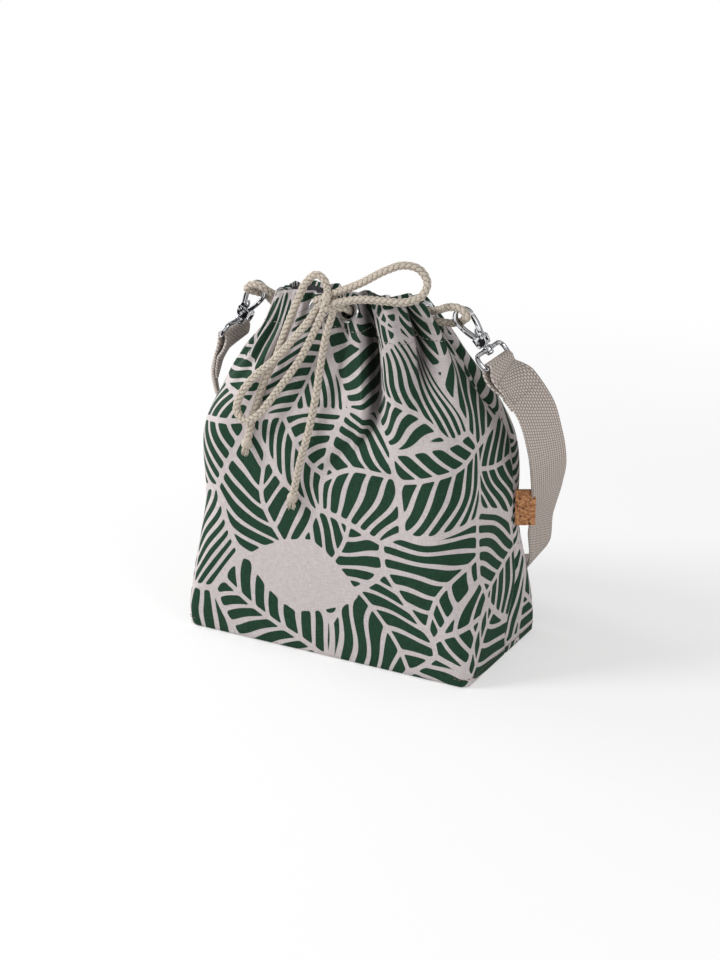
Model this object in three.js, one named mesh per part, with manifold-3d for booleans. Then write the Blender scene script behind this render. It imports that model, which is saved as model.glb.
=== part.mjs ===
// Drawstring lunch bag with a webbing carry strap on two swivel snap hooks.
// Millimetres, +Z up. The front faces -Y and the right side faces +X.
// The origin is the middle of the boxed base, on the surface that the bag stands on.

import * as THREE from 'three';
import { mergeVertices } from 'three/addons/utils/BufferGeometryUtils.js';
import Module from 'manifold-3d';

const wasm = await Module();
wasm.setup();

// Clearance between pieces that touch
const FIT = 0.3;

// Sewn body, measured on the outside of the filled bag: a rounded rectangle at each height
const BASE_WIDTH = 220;
const BASE_DEPTH = 110;
const BASE_CORNER = 7;
const HEEL_HEIGHT = 18;
const HEEL_WIDTH = 221;
const HEEL_DEPTH = 112;
const HEEL_CORNER = 9;
const BELLY_HEIGHT = 90;
const BELLY_WIDTH = 210;
const BELLY_DEPTH = 114;
const BELLY_CORNER = 30;
const CHEST_HEIGHT = 145;
const CHEST_WIDTH = 207;
const CHEST_DEPTH = 108;
const CHEST_CORNER = 27;
const CHEST_LEAN = -2;
const SHOULDER_HEIGHT = 181;
const SHOULDER_WIDTH = 184;
const SHOULDER_DEPTH = 94;
const SHOULDER_CORNER = 32;
const YOKE_HEIGHT = 202;
const YOKE_WIDTH = 166;
const YOKE_DEPTH = 78;
const YOKE_CORNER = 32;
const YOKE_LEAN = -2.5;
const NECK_HEIGHT = 224;
const NECK_WIDTH = 148;
const NECK_DEPTH = 63;
const NECK_CORNER = 29;
const NECK_LEAN = -4;
const RIM_HEIGHT = 250;
const RIM_WIDTH = 120;
const RIM_DEPTH = 44;
const RIM_CORNER = 21.5;
const RIM_LEAN = -9;
const RIM_LEFT_DROP = 7;
const RIM_FRONT_RISE = 5;
const RIM_BACK_DROP = 2;
const BASE_EDGE = 2;
// Each side of the neck is drawn in about its eyelet
const SIDE_PINCH = 10;
const PINCH_START = 196;
const PINCH_END = 232;
const PINCH_TIGHTNESS = 6;
// The seam crosses the base a little behind its middle, and on the right it leans back over the belly
const BASE_SEAM = 6;
const SEAM_SWAY = 26;
const SWAY_FULL = 56;
const SWAY_END = 150;
const SWAY_GONE = 205;
const SWAY_START = 40;

// Cloth
const CANVAS = 1.4;
const LINING = 0.8;
const LINING_ROOM = 2.2;
const PLEATS = 12;
const PLEAT_DEPTH = 2;
const PLEAT_START = 176;

// Casing: the folded hem that holds the drawstring
const CASING = 24;
const TUNNEL_WIDTH = 8.4;
const SIDE_STOP = 20;
const FRONT_STOP = 8.5;
const TUNNEL_MARGIN = 2.6;
const TOP_FOLD = 1.6;
const INNER_TRIM = 1;

// Eyelets
const FRONT_HOLE = 5;
const SIDE_HOLE = 6.2;
const BARREL = 0.5;
const FLANGE = 2.4;
const FLANGE_THICKNESS = 1.1;
const WASHER = 1.5;
const WASHER_THICKNESS = 0.6;
const SEAT_DEPTH = 0.6;
const WASHER_POCKET = 3;
const CUT_REACH = 14;
const FRONT_EYELET_DROP = 11;
const SIDE_EYELET_DROP = 10.5;
const FRONT_EYELET_LEFT = 0.7155;
const FRONT_EYELET_RIGHT = 0.7835;

// Drawstring
const CORD = 5.5;
const CORD_SIDES = 8;
const BOUND_END = 7.2;
const BOUND_LENGTH = 7;
const BOUND_NOSE = 0.8;
const BOUND_EASE = 1.2;
const BOUND_TAPER = 2;
const STRAND_SPREAD = 2.85;
const STRAND_DEPTH = 5.2;
const STRAND_OUT = 2;
const LEAD_INSIDE = 3;
const LEAD_OUT = 1.5;

// Label tab in the right side seam
const TAB_WIDTH = 26;
const TAB_LENGTH = 14;
const TAB_THICKNESS = 2.4;
const TAB_HEIGHT = 103;
const TAB_TURN = 28;

// Strap
const WEBBING_WIDTH = 32;
const WEBBING = 2;
const LAP_LENGTH = 34;
const LAP_CLEAR = 5;
const LAP_SEWN = 26;

// Strap ring: a rounded rectangle of wire with a boss for the swivel
const RING_WIRE = 3.2;
const RING_LENGTH = 38;
const RING_DEPTH = 11;
const RING_CORNER = 4.5;
const BOSS = 7;
const BOSS_LENGTH = 4.4;
const RING_STEPS = 40;

// Snap hook, along its stem from the middle of the boss
const STEM = 3;
const STEM_HEAD = 5.4;
const HEAD_HEIGHT = 1.6;
const NECK_START = 3;
const BLOCK_TOP = 10.5;
const BLOCK_WIDTH = 8.4;
const BLOCK_THICKNESS = 6.6;
const HOOK_THICKNESS = 4.4;
const HOOK_BEVEL = 0.5;
const NOSE_DROP = 1.2;
const EYE_HEIGHT = 26;
const EYE_RADIUS = 4.9;
const HOOK_WALL = 2.8;
const ARM_INSET = 0.2;
const ARM_ROOT = 1;
const ARM_BOW = 0.4;
const ARM_BEND = 8;
const ARM_INSIDE = -0.8;
const ARM_STEP = 0.6;
const BLOCK_EASE = 1.6;
const KNUCKLE = 0.6;
const KNUCKLE_START = -0.4;
const STEM_ROOT = 1.5;
const SLOT_START = 0.4;
const SLOT_DROP = 3;
const PIVOT_X = 3.2;
const PIVOT_HEIGHT = 8.4;
const PIN = 1.8;
const PIN_HEAD = 3;
const PIN_HEAD_HEIGHT = 0.6;
const TONGUE = 2.2;
const TONGUE_RADIUS = 1.9;
const GATE_THICKNESS = 3.8;
const GATE_WALL = 2.6;
const GATE_FOOT = 12;
const GATE_ROOT = 1.2;
const GATE_LAP = 2;
const GATE_TIP = 0.1;
const NOSE_GAP = 0.5;
const LEAF = 0.5;
const LEAF_WIDTH = 2.2;
const LEAF_FOOT_X = 0.1;
const LEAF_BOW_X = -0.6;
const LEAF_TIP_X = 1.9;
const LEAF_TIP = 3.4;

// How far each hook's boss lies out from its side eyelet and below it, and the lean of its stem
const BOSS_OUT_RIGHT = 45.53;
const BOSS_DROP_RIGHT = 16.5;
const LEAN_RIGHT = 43.3;
const BOSS_OUT_LEFT = 31.86;
const BOSS_DROP_LEFT = 18.44;
const LEAN_LEFT = 32;

// Side loops, as points along the middle of the cord, measured from the middle of the eyelet
const SIDE_LOOP_RIGHT = [
  [10, -1.2, 5.5], [16, -4.4, 8.7], [21, -6.2, 10.5], [26.4, -6.6, 10.9], [31, -6.9, 9.1], [33.2, -7, 5.9],
  [28, 0, 1.8], [24.4, 6, -1.7], [20, 6, -3.9], [14.6, 4, -4.5], [9.6, 1.2, -3.6],
];
const SIDE_LOOP_LEFT = [
  [-6.4, -2.6, 5.3], [-9.8, -5.6, 8.5], [-14.4, -6.6, 10.5], [-19.4, -6.6, 9.5], [-22.6, -6.2, 6.1],
  [-18.3, 0, 2.8], [-14.4, 6, -0.5], [-10.4, 5.2, -2.9], [-6.4, 2.4, -3.5],
];
// The bow's cords in the same way, with heights measured from the rim
const KNOT = [-5.5, -33, 0];
const KNOT_SIZE = new THREE.Vector3(15, 12, 13.5);
const LEAD_LEFT = [[-19.5, -28.5, -2.6], [-16.6, -31, -1.4], [-14, -32.2, -0.2]];
const LEAD_RIGHT = [[3.6, -28.6, -4.2], [3.6, -30.8, -4.1], [2.3, -32.2, -3.8]];
const BOW_LOOP_LEFT = [
  [-13, -35, -4], [-18.6, -40, -14], [-26.3, -43.6, -24.6], [-39.8, -48.6, -41.4], [-53.4, -53.6, -55],
  [-61.4, -57.6, -67.7], [-63, -60, -77.9], [-56.2, -61, -84], [-47.3, -59.4, -79], [-35.8, -52.4, -61.8],
  [-23.2, -44.6, -40.5], [-14.7, -40.8, -21.8], [-9, -38, -7.4],
];
const BOW_LOOP_RIGHT = [
  [-0.8, -30.8, 6.8], [13.9, -28, 14], [30.6, -23, 24.1], [40.8, -18, 27.6], [50.4, -14, 25.2],
  [56.4, -14, 16.8], [54.6, -18.6, 8.8], [46.2, -25.2, 5.2], [33.3, -29, 5], [17.2, -32, 4.6],
  [2.6, -34.6, 1.2],
];
const BOW_TAIL_LEFT = [
  [-8.4, -32, 7.6], [-11.4, -31, 13.6], [-17.1, -31, 16.4], [-24.6, -32, 9.8], [-30.1, -34.6, -3.5],
  [-35.2, -38.4, -19.6], [-38.6, -40.4, -30.6], [-42.2, -42.8, -42.6], [-47.3, -46.8, -55],
  [-51.4, -50.2, -69.6], [-54.4, -54, -84], [-56.5, -57.6, -99],
];
const BOW_TAIL_RIGHT = [
  [-2.8, -35.4, -7], [-5, -38.4, -18.4], [-7, -43.4, -38.2], [-7.2, -50.8, -61], [-9.7, -57, -85.2],
  [-14.6, -59.8, -106.3], [-19.4, -61.2, -130.2],
];

// Strap: places along the middle of the band, measured outwards, back and up from each hook's boss, with the
// way that its width runs. The right list ends at the lowest place and the left one just short of it.
const STRAP_RIGHT = [
  { at: [12, 0, -14], width: [0, 1, 0] },
  { at: [18, 1.5, -25], width: [0.1, 1, 0.05] },
  { at: [25, 6, -41], width: [0.25, 1, 0.05] },
  { at: [31.5, 17, -63], width: [0.45, 1, 0] },
  { at: [34.5, 33, -89], width: [0.5, 1, 0.05] },
  { at: [32, 50, -116], width: [0.4, 1, 0.2] },
  { at: [18.5, 61, -143], width: [0.25, 1, 0.35] },
  { at: [-2.5, 73, -167], width: [0.1, 1, 0.4] },
  { at: [-32.5, 80, -183], width: [0, 1, 0.4] },
  { at: [-64.5, 83, -190], width: [0, 1, 0.4] },
  { at: [-96.5, 84, -192], width: [0, 1, 0.4] },
];
const STRAP_LEFT = [
  { at: [9.1, 0, -15], width: [0, 1, 0] },
  { at: [14.5, 1.5, -23.5], width: [0.1, 1, 0.05] },
  { at: [23.5, 6, -37.5], width: [0.25, 1, 0.05] },
  { at: [32.5, 17, -58.5], width: [0.4, 1, 0] },
  { at: [36.5, 31, -82.5], width: [0.5, 1, 0.05] },
  { at: [33.5, 46, -108.5], width: [0.45, 1, 0.2] },
  { at: [22.5, 61, -135.5], width: [0.25, 1, 0.35] },
  { at: [1.5, 73, -158.5], width: [0.1, 1, 0.4] },
  { at: [-28.5, 80, -174.5], width: [0, 1, 0.4] },
  { at: [-60.5, 83, -181.5], width: [0, 1, 0.4] },
];

// Materials
function cloth(colour) {
  return new THREE.MeshStandardMaterial({ color: colour, roughness: 0.9, metalness: 0 });
}
function metal(colour) {
  return new THREE.MeshStandardMaterial({ color: colour, roughness: 0.15, metalness: 1 });
}
const GREEN_CANVAS = 0x2c4f3c;
const DARK_LINING = 0x1b1a1c;
const CORD_BEIGE = 0xb9ad9c;
const WEBBING_TAUPE = 0xab9f95;
const CORK = 0xb47846;
const CHROME = 0xc9cacd;

// Turning geometry into solids and back
const WELD = 1e-4;
function solid(geometry) {
  const bare = geometry.clone();
  bare.deleteAttribute('normal');
  bare.deleteAttribute('uv');
  const merged = mergeVertices(bare, WELD);
  const corners = merged.index.array;
  const triangles = [];
  for (let i = 0; i < corners.length; i += 3) {
    const [a, b, c] = corners.slice(i, i + 3);
    if (a !== b && b !== c && c !== a) triangles.push(a, b, c);
  }
  const mesh = new wasm.Mesh({
    numProp: 3,
    vertProperties: new Float32Array(merged.attributes.position.array),
    triVerts: new Uint32Array(triangles),
  });
  return new wasm.Manifold(mesh);
}
function geometryOf(manifold) {
  const mesh = manifold.getMesh();
  const geometry = new THREE.BufferGeometry();
  geometry.setAttribute('position', new THREE.BufferAttribute(new Float32Array(mesh.vertProperties), 3));
  geometry.setIndex(new THREE.BufferAttribute(new Uint32Array(mesh.triVerts), 1));
  geometry.computeVertexNormals();
  return geometry;
}
function piece(name, shape, material) {
  const geometry = shape.isBufferGeometry ? shape : geometryOf(shape);
  const mesh = new THREE.Mesh(geometry, material);
  mesh.name = name;
  return mesh;
}
function placed(geometry, place) {
  return geometry.clone().applyMatrix4(place);
}

// A closed surface over rows of equally long loops, each loop anticlockwise seen from above.
// With no ends given the last row joins the first, otherwise a fan closes each end.
function loftedSolid(rows, startPoint, endPoint) {
  const count = rows[0].length;
  const positions = rows.flat().flatMap((p) => [p.x, p.y, p.z]);
  const index = [];
  const steps = startPoint ? rows.length - 1 : rows.length;
  for (let i = 0; i < steps; i++) {
    const here = i * count;
    const next = ((i + 1) % rows.length) * count;
    for (let j = 0; j < count; j++) {
      const k = (j + 1) % count;
      index.push(here + j, here + k, next + k, here + j, next + k, next + j);
    }
  }
  if (startPoint) {
    const last = (rows.length - 1) * count;
    positions.push(startPoint.x, startPoint.y, startPoint.z, endPoint.x, endPoint.y, endPoint.z);
    const start = rows.length * count;
    for (let j = 0; j < count; j++) {
      const k = (j + 1) % count;
      index.push(start, k, j);
      index.push(start + 1, last + j, last + k);
    }
  }
  const geometry = new THREE.BufferGeometry();
  geometry.setAttribute('position', new THREE.Float32BufferAttribute(positions, 3));
  geometry.setIndex(index);
  return geometry;
}

// Body outline
const BODY_ROWS = [
  [0, BASE_WIDTH / 2, BASE_DEPTH / 2, BASE_CORNER, 0],
  [HEEL_HEIGHT, HEEL_WIDTH / 2, HEEL_DEPTH / 2, HEEL_CORNER, 0],
  [BELLY_HEIGHT, BELLY_WIDTH / 2, BELLY_DEPTH / 2, BELLY_CORNER, 0],
  [CHEST_HEIGHT, CHEST_WIDTH / 2, CHEST_DEPTH / 2, CHEST_CORNER, CHEST_LEAN],
  [SHOULDER_HEIGHT, SHOULDER_WIDTH / 2, SHOULDER_DEPTH / 2, SHOULDER_CORNER, 0],
  [YOKE_HEIGHT, YOKE_WIDTH / 2, YOKE_DEPTH / 2, YOKE_CORNER, YOKE_LEAN],
  [NECK_HEIGHT, NECK_WIDTH / 2, NECK_DEPTH / 2, NECK_CORNER, NECK_LEAN],
  [RIM_HEIGHT, RIM_WIDTH / 2, RIM_DEPTH / 2, RIM_CORNER, RIM_LEAN],
];
function slopeAt(i, key) {
  const a = BODY_ROWS[Math.max(i - 1, 0)];
  const b = BODY_ROWS[Math.min(i + 1, BODY_ROWS.length - 1)];
  return (b[key] - a[key]) / (b[0] - a[0]);
}
function bodyRow(z) {
  let i = 0;
  while (i < BODY_ROWS.length - 2 && z > BODY_ROWS[i + 1][0]) i++;
  const [a, b] = [BODY_ROWS[i], BODY_ROWS[i + 1]];
  const span = b[0] - a[0];
  const t = (z - a[0]) / span;
  return [1, 2, 3, 4].map((key) => {
    const rise = (2 * t ** 3 - 3 * t ** 2 + 1) * a[key] + (3 * t ** 2 - 2 * t ** 3) * b[key];
    const bend = (t ** 3 - 2 * t ** 2 + t) * slopeAt(i, key) + (t ** 3 - t ** 2) * slopeAt(i + 1, key);
    return rise + bend * span;
  });
}
// Point and outward direction at share u of the way round, from the right seam over the back
function outline(z, u) {
  const [halfWidth, halfDepth, corner, lean] = bodyRow(z);
  const turn = ((u % 1) + 1) % 1;
  const quarter = Math.floor(turn * 4) % 4;
  const share = turn * 4 - quarter;
  const f = quarter % 2 === 0 ? share : 1 - share;
  const side = halfDepth - corner;
  const arc = (Math.PI / 2) * corner;
  const s = f * (side + arc + halfWidth - corner);
  const angle = THREE.MathUtils.clamp((s - side) / corner, 0, Math.PI / 2);
  const run = Math.max(s - side - arc, 0);
  const x = halfWidth - corner + corner * Math.cos(angle) - run;
  const y = Math.min(s, side) + corner * Math.sin(angle);
  const signX = quarter === 1 || quarter === 2 ? -1 : 1;
  const signY = quarter >= 2 ? -1 : 1;
  return { x: signX * x + lean, y: signY * y, nx: signX * Math.cos(angle), ny: signY * Math.sin(angle) };
}
function rimLift(z, u) {
  const share = THREE.MathUtils.smoothstep(z, SHOULDER_HEIGHT, RIM_HEIGHT);
  const left = ((1 - Math.cos(2 * Math.PI * u)) / 2) ** 2;
  const front = -Math.sin(2 * Math.PI * u);
  const tilt = front > 0 ? RIM_FRONT_RISE * front ** 2 : -RIM_BACK_DROP * front ** 2;
  return share * (tilt - RIM_LEFT_DROP * left);
}
function pleat(z, u) {
  const share = THREE.MathUtils.smoothstep(z, PLEAT_START, RIM_HEIGHT);
  return PLEAT_DEPTH * share * Math.cos(2 * Math.PI * PLEATS * u);
}
function pinch(z, u) {
  const share = THREE.MathUtils.smoothstep(z, PINCH_START, PINCH_END);
  return SIDE_PINCH * share * Math.cos(2 * Math.PI * u) ** (2 * PINCH_TIGHTNESS);
}
function skinPoint(z, u, inset, pleated) {
  const o = outline(z, u);
  const out = (pleated ? pleat(z, u) : 0) - pinch(z, u) - inset;
  return new THREE.Vector3(o.x + o.nx * out, o.y + o.ny * out, z + rimLift(z, u));
}
function skinLoop(z, inset, count, pleated) {
  return Array.from({ length: count }, (_, j) => skinPoint(z, j / count, inset, pleated));
}

// Half of the bag, in front of the side seams or behind them
const CUT_SIZE = 2 * RIM_HEIGHT;
function seamPlace(z) {
  const rise = THREE.MathUtils.smoothstep(z, 0, SWAY_FULL);
  const fall = 1 - THREE.MathUtils.smoothstep(z, SWAY_END, SWAY_GONE);
  return SEAM_SWAY * rise * fall;
}
function baseSeam(z) {
  return BASE_SEAM * (1 - THREE.MathUtils.smoothstep(z, BASE_EDGE, HEEL_HEIGHT));
}
function halfSpace(front, swaying) {
  const far = CUT_SIZE * (front ? -1 : 1);
  const gap = (FIT / 2) * (front ? -1 : 1);
  const climb = [0.25, 0.5, 0.75].map((share) => share * SWAY_FULL);
  const descent = [0.33, 0.67].map((share) => THREE.MathUtils.lerp(SWAY_END, SWAY_GONE, share));
  const levels = [-CUT_SIZE, BASE_EDGE, ...climb, SWAY_FULL, SWAY_END, ...descent, SWAY_GONE, CUT_SIZE];
  const rows = levels.map((z) => {
    const middle = gap + baseSeam(z);
    const right = middle + (swaying ? seamPlace(z) : 0);
    const corners = [[-CUT_SIZE, middle], [-CUT_SIZE, far], [CUT_SIZE, far], [CUT_SIZE, right],
      [SWAY_START, right], [0, middle]];
    const loop = corners.map(([x, y]) => new THREE.Vector3(x, y, z));
    return front ? loop : loop.reverse();
  });
  const middle = (z) => new THREE.Vector3(0, far / 2, z);
  return solid(loftedSolid(rows, middle(-CUT_SIZE), middle(CUT_SIZE)));
}

// Canvas panels
const PANEL_COLUMNS = 72;
const WALL_HEIGHTS = [HEEL_HEIGHT, (HEEL_HEIGHT + BELLY_HEIGHT) / 2, BELLY_HEIGHT, CHEST_HEIGHT,
  (CHEST_HEIGHT + SHOULDER_HEIGHT) / 2, SHOULDER_HEIGHT];
const UPPER_HEIGHTS = [YOKE_HEIGHT, (YOKE_HEIGHT + NECK_HEIGHT) / 2];
const CASING_BOTTOM = RIM_HEIGHT - CASING;
function canvasCup() {
  const heights = [BASE_EDGE, ...WALL_HEIGHTS, ...UPPER_HEIGHTS, CASING_BOTTOM - FIT];
  const outer = heights.map((z) => skinLoop(z, 0, PANEL_COLUMNS, true));
  const inner = [CANVAS + BASE_EDGE, ...heights.slice(1)].reverse();
  const sole = skinLoop(0, BASE_EDGE, PANEL_COLUMNS, false);
  const floor = skinLoop(CANVAS, CANVAS + BASE_EDGE, PANEL_COLUMNS, false);
  const innerWall = inner.map((z) => skinLoop(z, CANVAS, PANEL_COLUMNS, true));
  const rows = [sole, ...outer, ...innerWall, floor];
  return solid(loftedSolid(rows, new THREE.Vector3(0, 0, 0), new THREE.Vector3(0, 0, CANVAS)));
}

// Dark lining, a smooth inner bag that hangs from the casing
const LINING_COLUMNS = 40;
function liningSolid() {
  const start = CANVAS + LINING_ROOM;
  const heights = [start + BASE_EDGE + LINING, ...WALL_HEIGHTS, ...UPPER_HEIGHTS, CASING_BOTTOM - FIT];
  const room = (z) => start + PLEAT_DEPTH * THREE.MathUtils.smoothstep(z, PLEAT_START, RIM_HEIGHT);
  const outer = heights.map((z) => skinLoop(z, room(z), LINING_COLUMNS, false));
  const inner = [...heights].reverse().map((z) => skinLoop(z, room(z) + LINING, LINING_COLUMNS, false));
  const sole = skinLoop(start, start + BASE_EDGE, LINING_COLUMNS, false);
  const floor = skinLoop(start + LINING, start + LINING + BASE_EDGE, LINING_COLUMNS, false);
  const rows = [sole, ...outer, ...inner, floor];
  const bottom = new THREE.Vector3(0, 0, start);
  return loftedSolid(rows, bottom, new THREE.Vector3(0, 0, start + LINING));
}

// Casing: pleated outside and in, with a smooth tunnel between
const OUTER_WALL = CANVAS + PLEAT_DEPTH;
const CASING_THICKNESS = OUTER_WALL + TUNNEL_WIDTH + OUTER_WALL - INNER_TRIM;
const TUNNEL_MIDDLE = OUTER_WALL + TUNNEL_WIDTH / 2;
function casingRing() {
  const shoulder = RIM_HEIGHT - TOP_FOLD;
  const middle = CASING_BOTTOM + CASING / 2;
  const profile = [
    [CASING_BOTTOM, 0], [middle, 0], [shoulder, 0], [RIM_HEIGHT, TOP_FOLD],
    [RIM_HEIGHT, CASING_THICKNESS - TOP_FOLD], [shoulder, CASING_THICKNESS],
    [CASING_BOTTOM, CASING_THICKNESS],
  ];
  const rows = profile.map(([z, inset]) => skinLoop(z, inset, PANEL_COLUMNS, true));
  return solid(loftedSolid(rows));
}
function tunnelRing() {
  const low = CASING_BOTTOM + TUNNEL_MARGIN;
  const high = RIM_HEIGHT - TUNNEL_MARGIN;
  const outside = OUTER_WALL;
  const inside = OUTER_WALL + TUNNEL_WIDTH;
  const profile = [[low, outside], [high, outside], [high, inside], [low, inside]];
  return solid(loftedSolid(profile.map(([z, inset]) => skinLoop(z, inset, PANEL_COLUMNS, false))));
}

// A frame on the cloth: local z points out of it, and local x runs round the rim
function clothFrame(z, u) {
  const step = 0.01;
  const at = skinPoint(z, u, 0, false);
  const along = skinPoint(z, u + step, 0, false).sub(skinPoint(z, u - step, 0, false)).normalize();
  const up = skinPoint(z + 1, u, 0, false).sub(skinPoint(z - 1, u, 0, false)).normalize();
  const out = along.clone().cross(up).normalize();
  return new THREE.Matrix4().makeBasis(along, out.clone().cross(along), out).setPosition(at);
}
// The side frames point straight along X, so that the cord turns squarely in them
const SIDE_EYELET_HEIGHT = RIM_HEIGHT - SIDE_EYELET_DROP;
const FRONT_EYELET_HEIGHT = RIM_HEIGHT - FRONT_EYELET_DROP;
function sideFrame(u) {
  const at = skinPoint(SIDE_EYELET_HEIGHT, u, 0, false);
  const out = new THREE.Vector3(u === 0 ? 1 : -1, 0, 0);
  const up = new THREE.Vector3(0, 0, 1);
  return new THREE.Matrix4().makeBasis(up.clone().cross(out), up, out).setPosition(at);
}
const rightFrame = sideFrame(0);
const leftFrame = sideFrame(0.5);
const EYELETS = [
  { name: 'front_eyelet_left', washer: 'front_washer_left', hole: FRONT_HOLE,
    frame: clothFrame(FRONT_EYELET_HEIGHT, FRONT_EYELET_LEFT) },
  { name: 'front_eyelet_right', washer: 'front_washer_right', hole: FRONT_HOLE,
    frame: clothFrame(FRONT_EYELET_HEIGHT, FRONT_EYELET_RIGHT) },
  { name: 'side_eyelet_right', washer: 'side_washer_right', hole: SIDE_HOLE, frame: rightFrame },
  { name: 'side_eyelet_left', washer: 'side_washer_left', hole: SIDE_HOLE, frame: leftFrame },
];

// A disc or bar about the local z axis, from one height to another
function drum(radius, from, to, sides = 20) {
  const cylinder = new THREE.CylinderGeometry(radius, radius, to - from, sides);
  return cylinder.rotateX(Math.PI / 2).translate(0, 0, (from + to) / 2);
}
// A closed ring about the local z axis, from a profile of radius and height
function ring(profile, sides = 20) {
  const points = [...profile, profile[0]].map(([r, h]) => new THREE.Vector2(r, h));
  return new THREE.LatheGeometry(points, sides).rotateX(Math.PI / 2);
}
const WASHER_SEAT = INNER_TRIM - OUTER_WALL;
function eyeletCuts(eyelet) {
  const { hole, frame } = eyelet;
  const cuts = [
    drum(hole + BARREL + FIT, WASHER_SEAT - TUNNEL_WIDTH, CUT_REACH),
    drum(hole + BARREL + FLANGE + FIT, -SEAT_DEPTH, CUT_REACH),
    drum(hole + BARREL + WASHER + 2 * FIT, WASHER_SEAT - WASHER_POCKET, WASHER_SEAT),
  ];
  return cuts.map((cut) => solid(placed(cut, frame)));
}
function eyeletRing({ hole, frame }) {
  const tube = hole + BARREL;
  const face = FIT - SEAT_DEPTH;
  const back = WASHER_SEAT - FIT - WASHER_THICKNESS - FIT;
  const profile = [
    [hole, back - BARREL], [tube + BARREL, back - BARREL], [tube + BARREL, back], [tube, back], [tube, face],
    [tube + FLANGE, face], [tube + FLANGE / 2, face + FLANGE_THICKNESS], [hole, face + FLANGE_THICKNESS / 2],
  ];
  return placed(ring(profile), frame);
}
function washerRing({ hole, frame }) {
  const top = WASHER_SEAT - FIT;
  const low = top - WASHER_THICKNESS;
  const inner = hole + BARREL + FIT;
  const outer = hole + BARREL + WASHER;
  return placed(ring([[inner, low], [outer, low], [outer, top], [inner, top]]), frame);
}

// Cords: a tube along a curve, with so many steps in a length of one diameter
const FREE_STEPS = 0.45;
const TUNNEL_STEPS = 0.9;
const LEAD_STEPS = 1.1;
const TIGHT_STEPS = 1.4;
function cordSection(radius) {
  const points = Array.from({ length: CORD_SIDES }, (_, i) => {
    const a = (2 * Math.PI * i) / CORD_SIDES;
    return new THREE.Vector2(radius * Math.cos(a), radius * Math.sin(a));
  });
  return new THREE.Shape(points);
}
function cordTube(points, spacing = FREE_STEPS) {
  const curve = new THREE.CatmullRomCurve3(points, false, 'centripetal');
  const steps = Math.max(2, Math.round((curve.getLength() * spacing) / CORD));
  return new THREE.ExtrudeGeometry(cordSection(CORD / 2), { steps, extrudePath: curve });
}
function vectorsFrom(origin, list) {
  return list.map((p) => new THREE.Vector3(...p).add(origin));
}
const rim = new THREE.Vector3(0, 0, RIM_HEIGHT);

// A stretch of the drawstring inside the tunnel, from one place round the rim to another
function tunnelCord(from, to) {
  const count = 16;
  const points = Array.from({ length: count + 1 }, (_, i) => {
    const t = i / count;
    const height = THREE.MathUtils.lerp(from[1], to[1], t);
    return skinPoint(height, THREE.MathUtils.lerp(from[0], to[0], t), TUNNEL_MIDDLE, false);
  });
  return cordTube(points, TUNNEL_STEPS);
}
// Share of the way round the rim that a length along the tunnel's middle takes
function rimShare(length) {
  const samples = 400;
  const loop = skinLoop(SIDE_EYELET_HEIGHT, TUNNEL_MIDDLE, samples, false);
  const round = loop.reduce((sum, p, j) => sum + p.distanceTo(loop[(j + 1) % samples]), 0);
  return length / round;
}

const bag = new THREE.Group();

// Sewn body
const cup = canvasCup();
const lining = liningSolid();
let casing = casingRing().subtract(tunnelRing());
for (const eyelet of EYELETS) {
  for (const cut of eyeletCuts(eyelet)) {
    casing = casing.subtract(cut);
  }
}
bag.add(piece('front_panel', cup.intersect(halfSpace(true, true)), cloth(GREEN_CANVAS)));
bag.add(piece('back_panel', cup.intersect(halfSpace(false, true)), cloth(GREEN_CANVAS)));
bag.add(piece('lining', lining, cloth(DARK_LINING)));
bag.add(piece('front_casing', casing.intersect(halfSpace(true, false)), cloth(GREEN_CANVAS)));
bag.add(piece('back_casing', casing.intersect(halfSpace(false, false)), cloth(GREEN_CANVAS)));

for (const eyelet of EYELETS) {
  bag.add(piece(eyelet.name, eyeletRing(eyelet), metal(CHROME)));
  bag.add(piece(eyelet.washer, washerRing(eyelet), metal(CHROME)));
}

// Label tab: a folded strip of cork whose cut ends are sewn into the right side seam
function labelTab() {
  const half = TAB_THICKNESS / 2;
  const shape = new THREE.Shape();
  shape.moveTo(0, -half);
  shape.lineTo(TAB_LENGTH - half, -half);
  shape.absarc(TAB_LENGTH - half, 0, half, -Math.PI / 2, Math.PI / 2, false);
  shape.lineTo(0, half);
  shape.closePath();
  const tab = new THREE.ExtrudeGeometry(shape, { depth: TAB_WIDTH, bevelEnabled: false, curveSegments: 4 });
  const turn = THREE.MathUtils.degToRad(TAB_TURN);
  const widest = bodyRow(TAB_HEIGHT - TAB_WIDTH / 2)[0];
  const x = widest + FIT + half * Math.sin(turn);
  return tab.rotateZ(turn).translate(x, SEAM_SWAY - half, TAB_HEIGHT - TAB_WIDTH / 2);
}
bag.add(piece('label_tab', labelTab(), cloth(CORK)));

// Drawstring inside the casing
const sideStop = rimShare(SIDE_STOP);
const frontStop = rimShare(FRONT_STOP);
const stretches = {
  drawstring_back: [[sideStop, SIDE_EYELET_HEIGHT], [0.5 - sideStop, SIDE_EYELET_HEIGHT]],
  drawstring_front_left: [
    [0.5 + sideStop, SIDE_EYELET_HEIGHT], [FRONT_EYELET_LEFT - frontStop, FRONT_EYELET_HEIGHT],
  ],
  drawstring_front_right: [
    [FRONT_EYELET_RIGHT + frontStop, FRONT_EYELET_HEIGHT], [1 - sideStop, SIDE_EYELET_HEIGHT],
  ],
};
for (const [name, [from, to]] of Object.entries(stretches)) {
  bag.add(piece(name, tunnelCord(from, to), cloth(CORD_BEIGE)));
}

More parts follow.
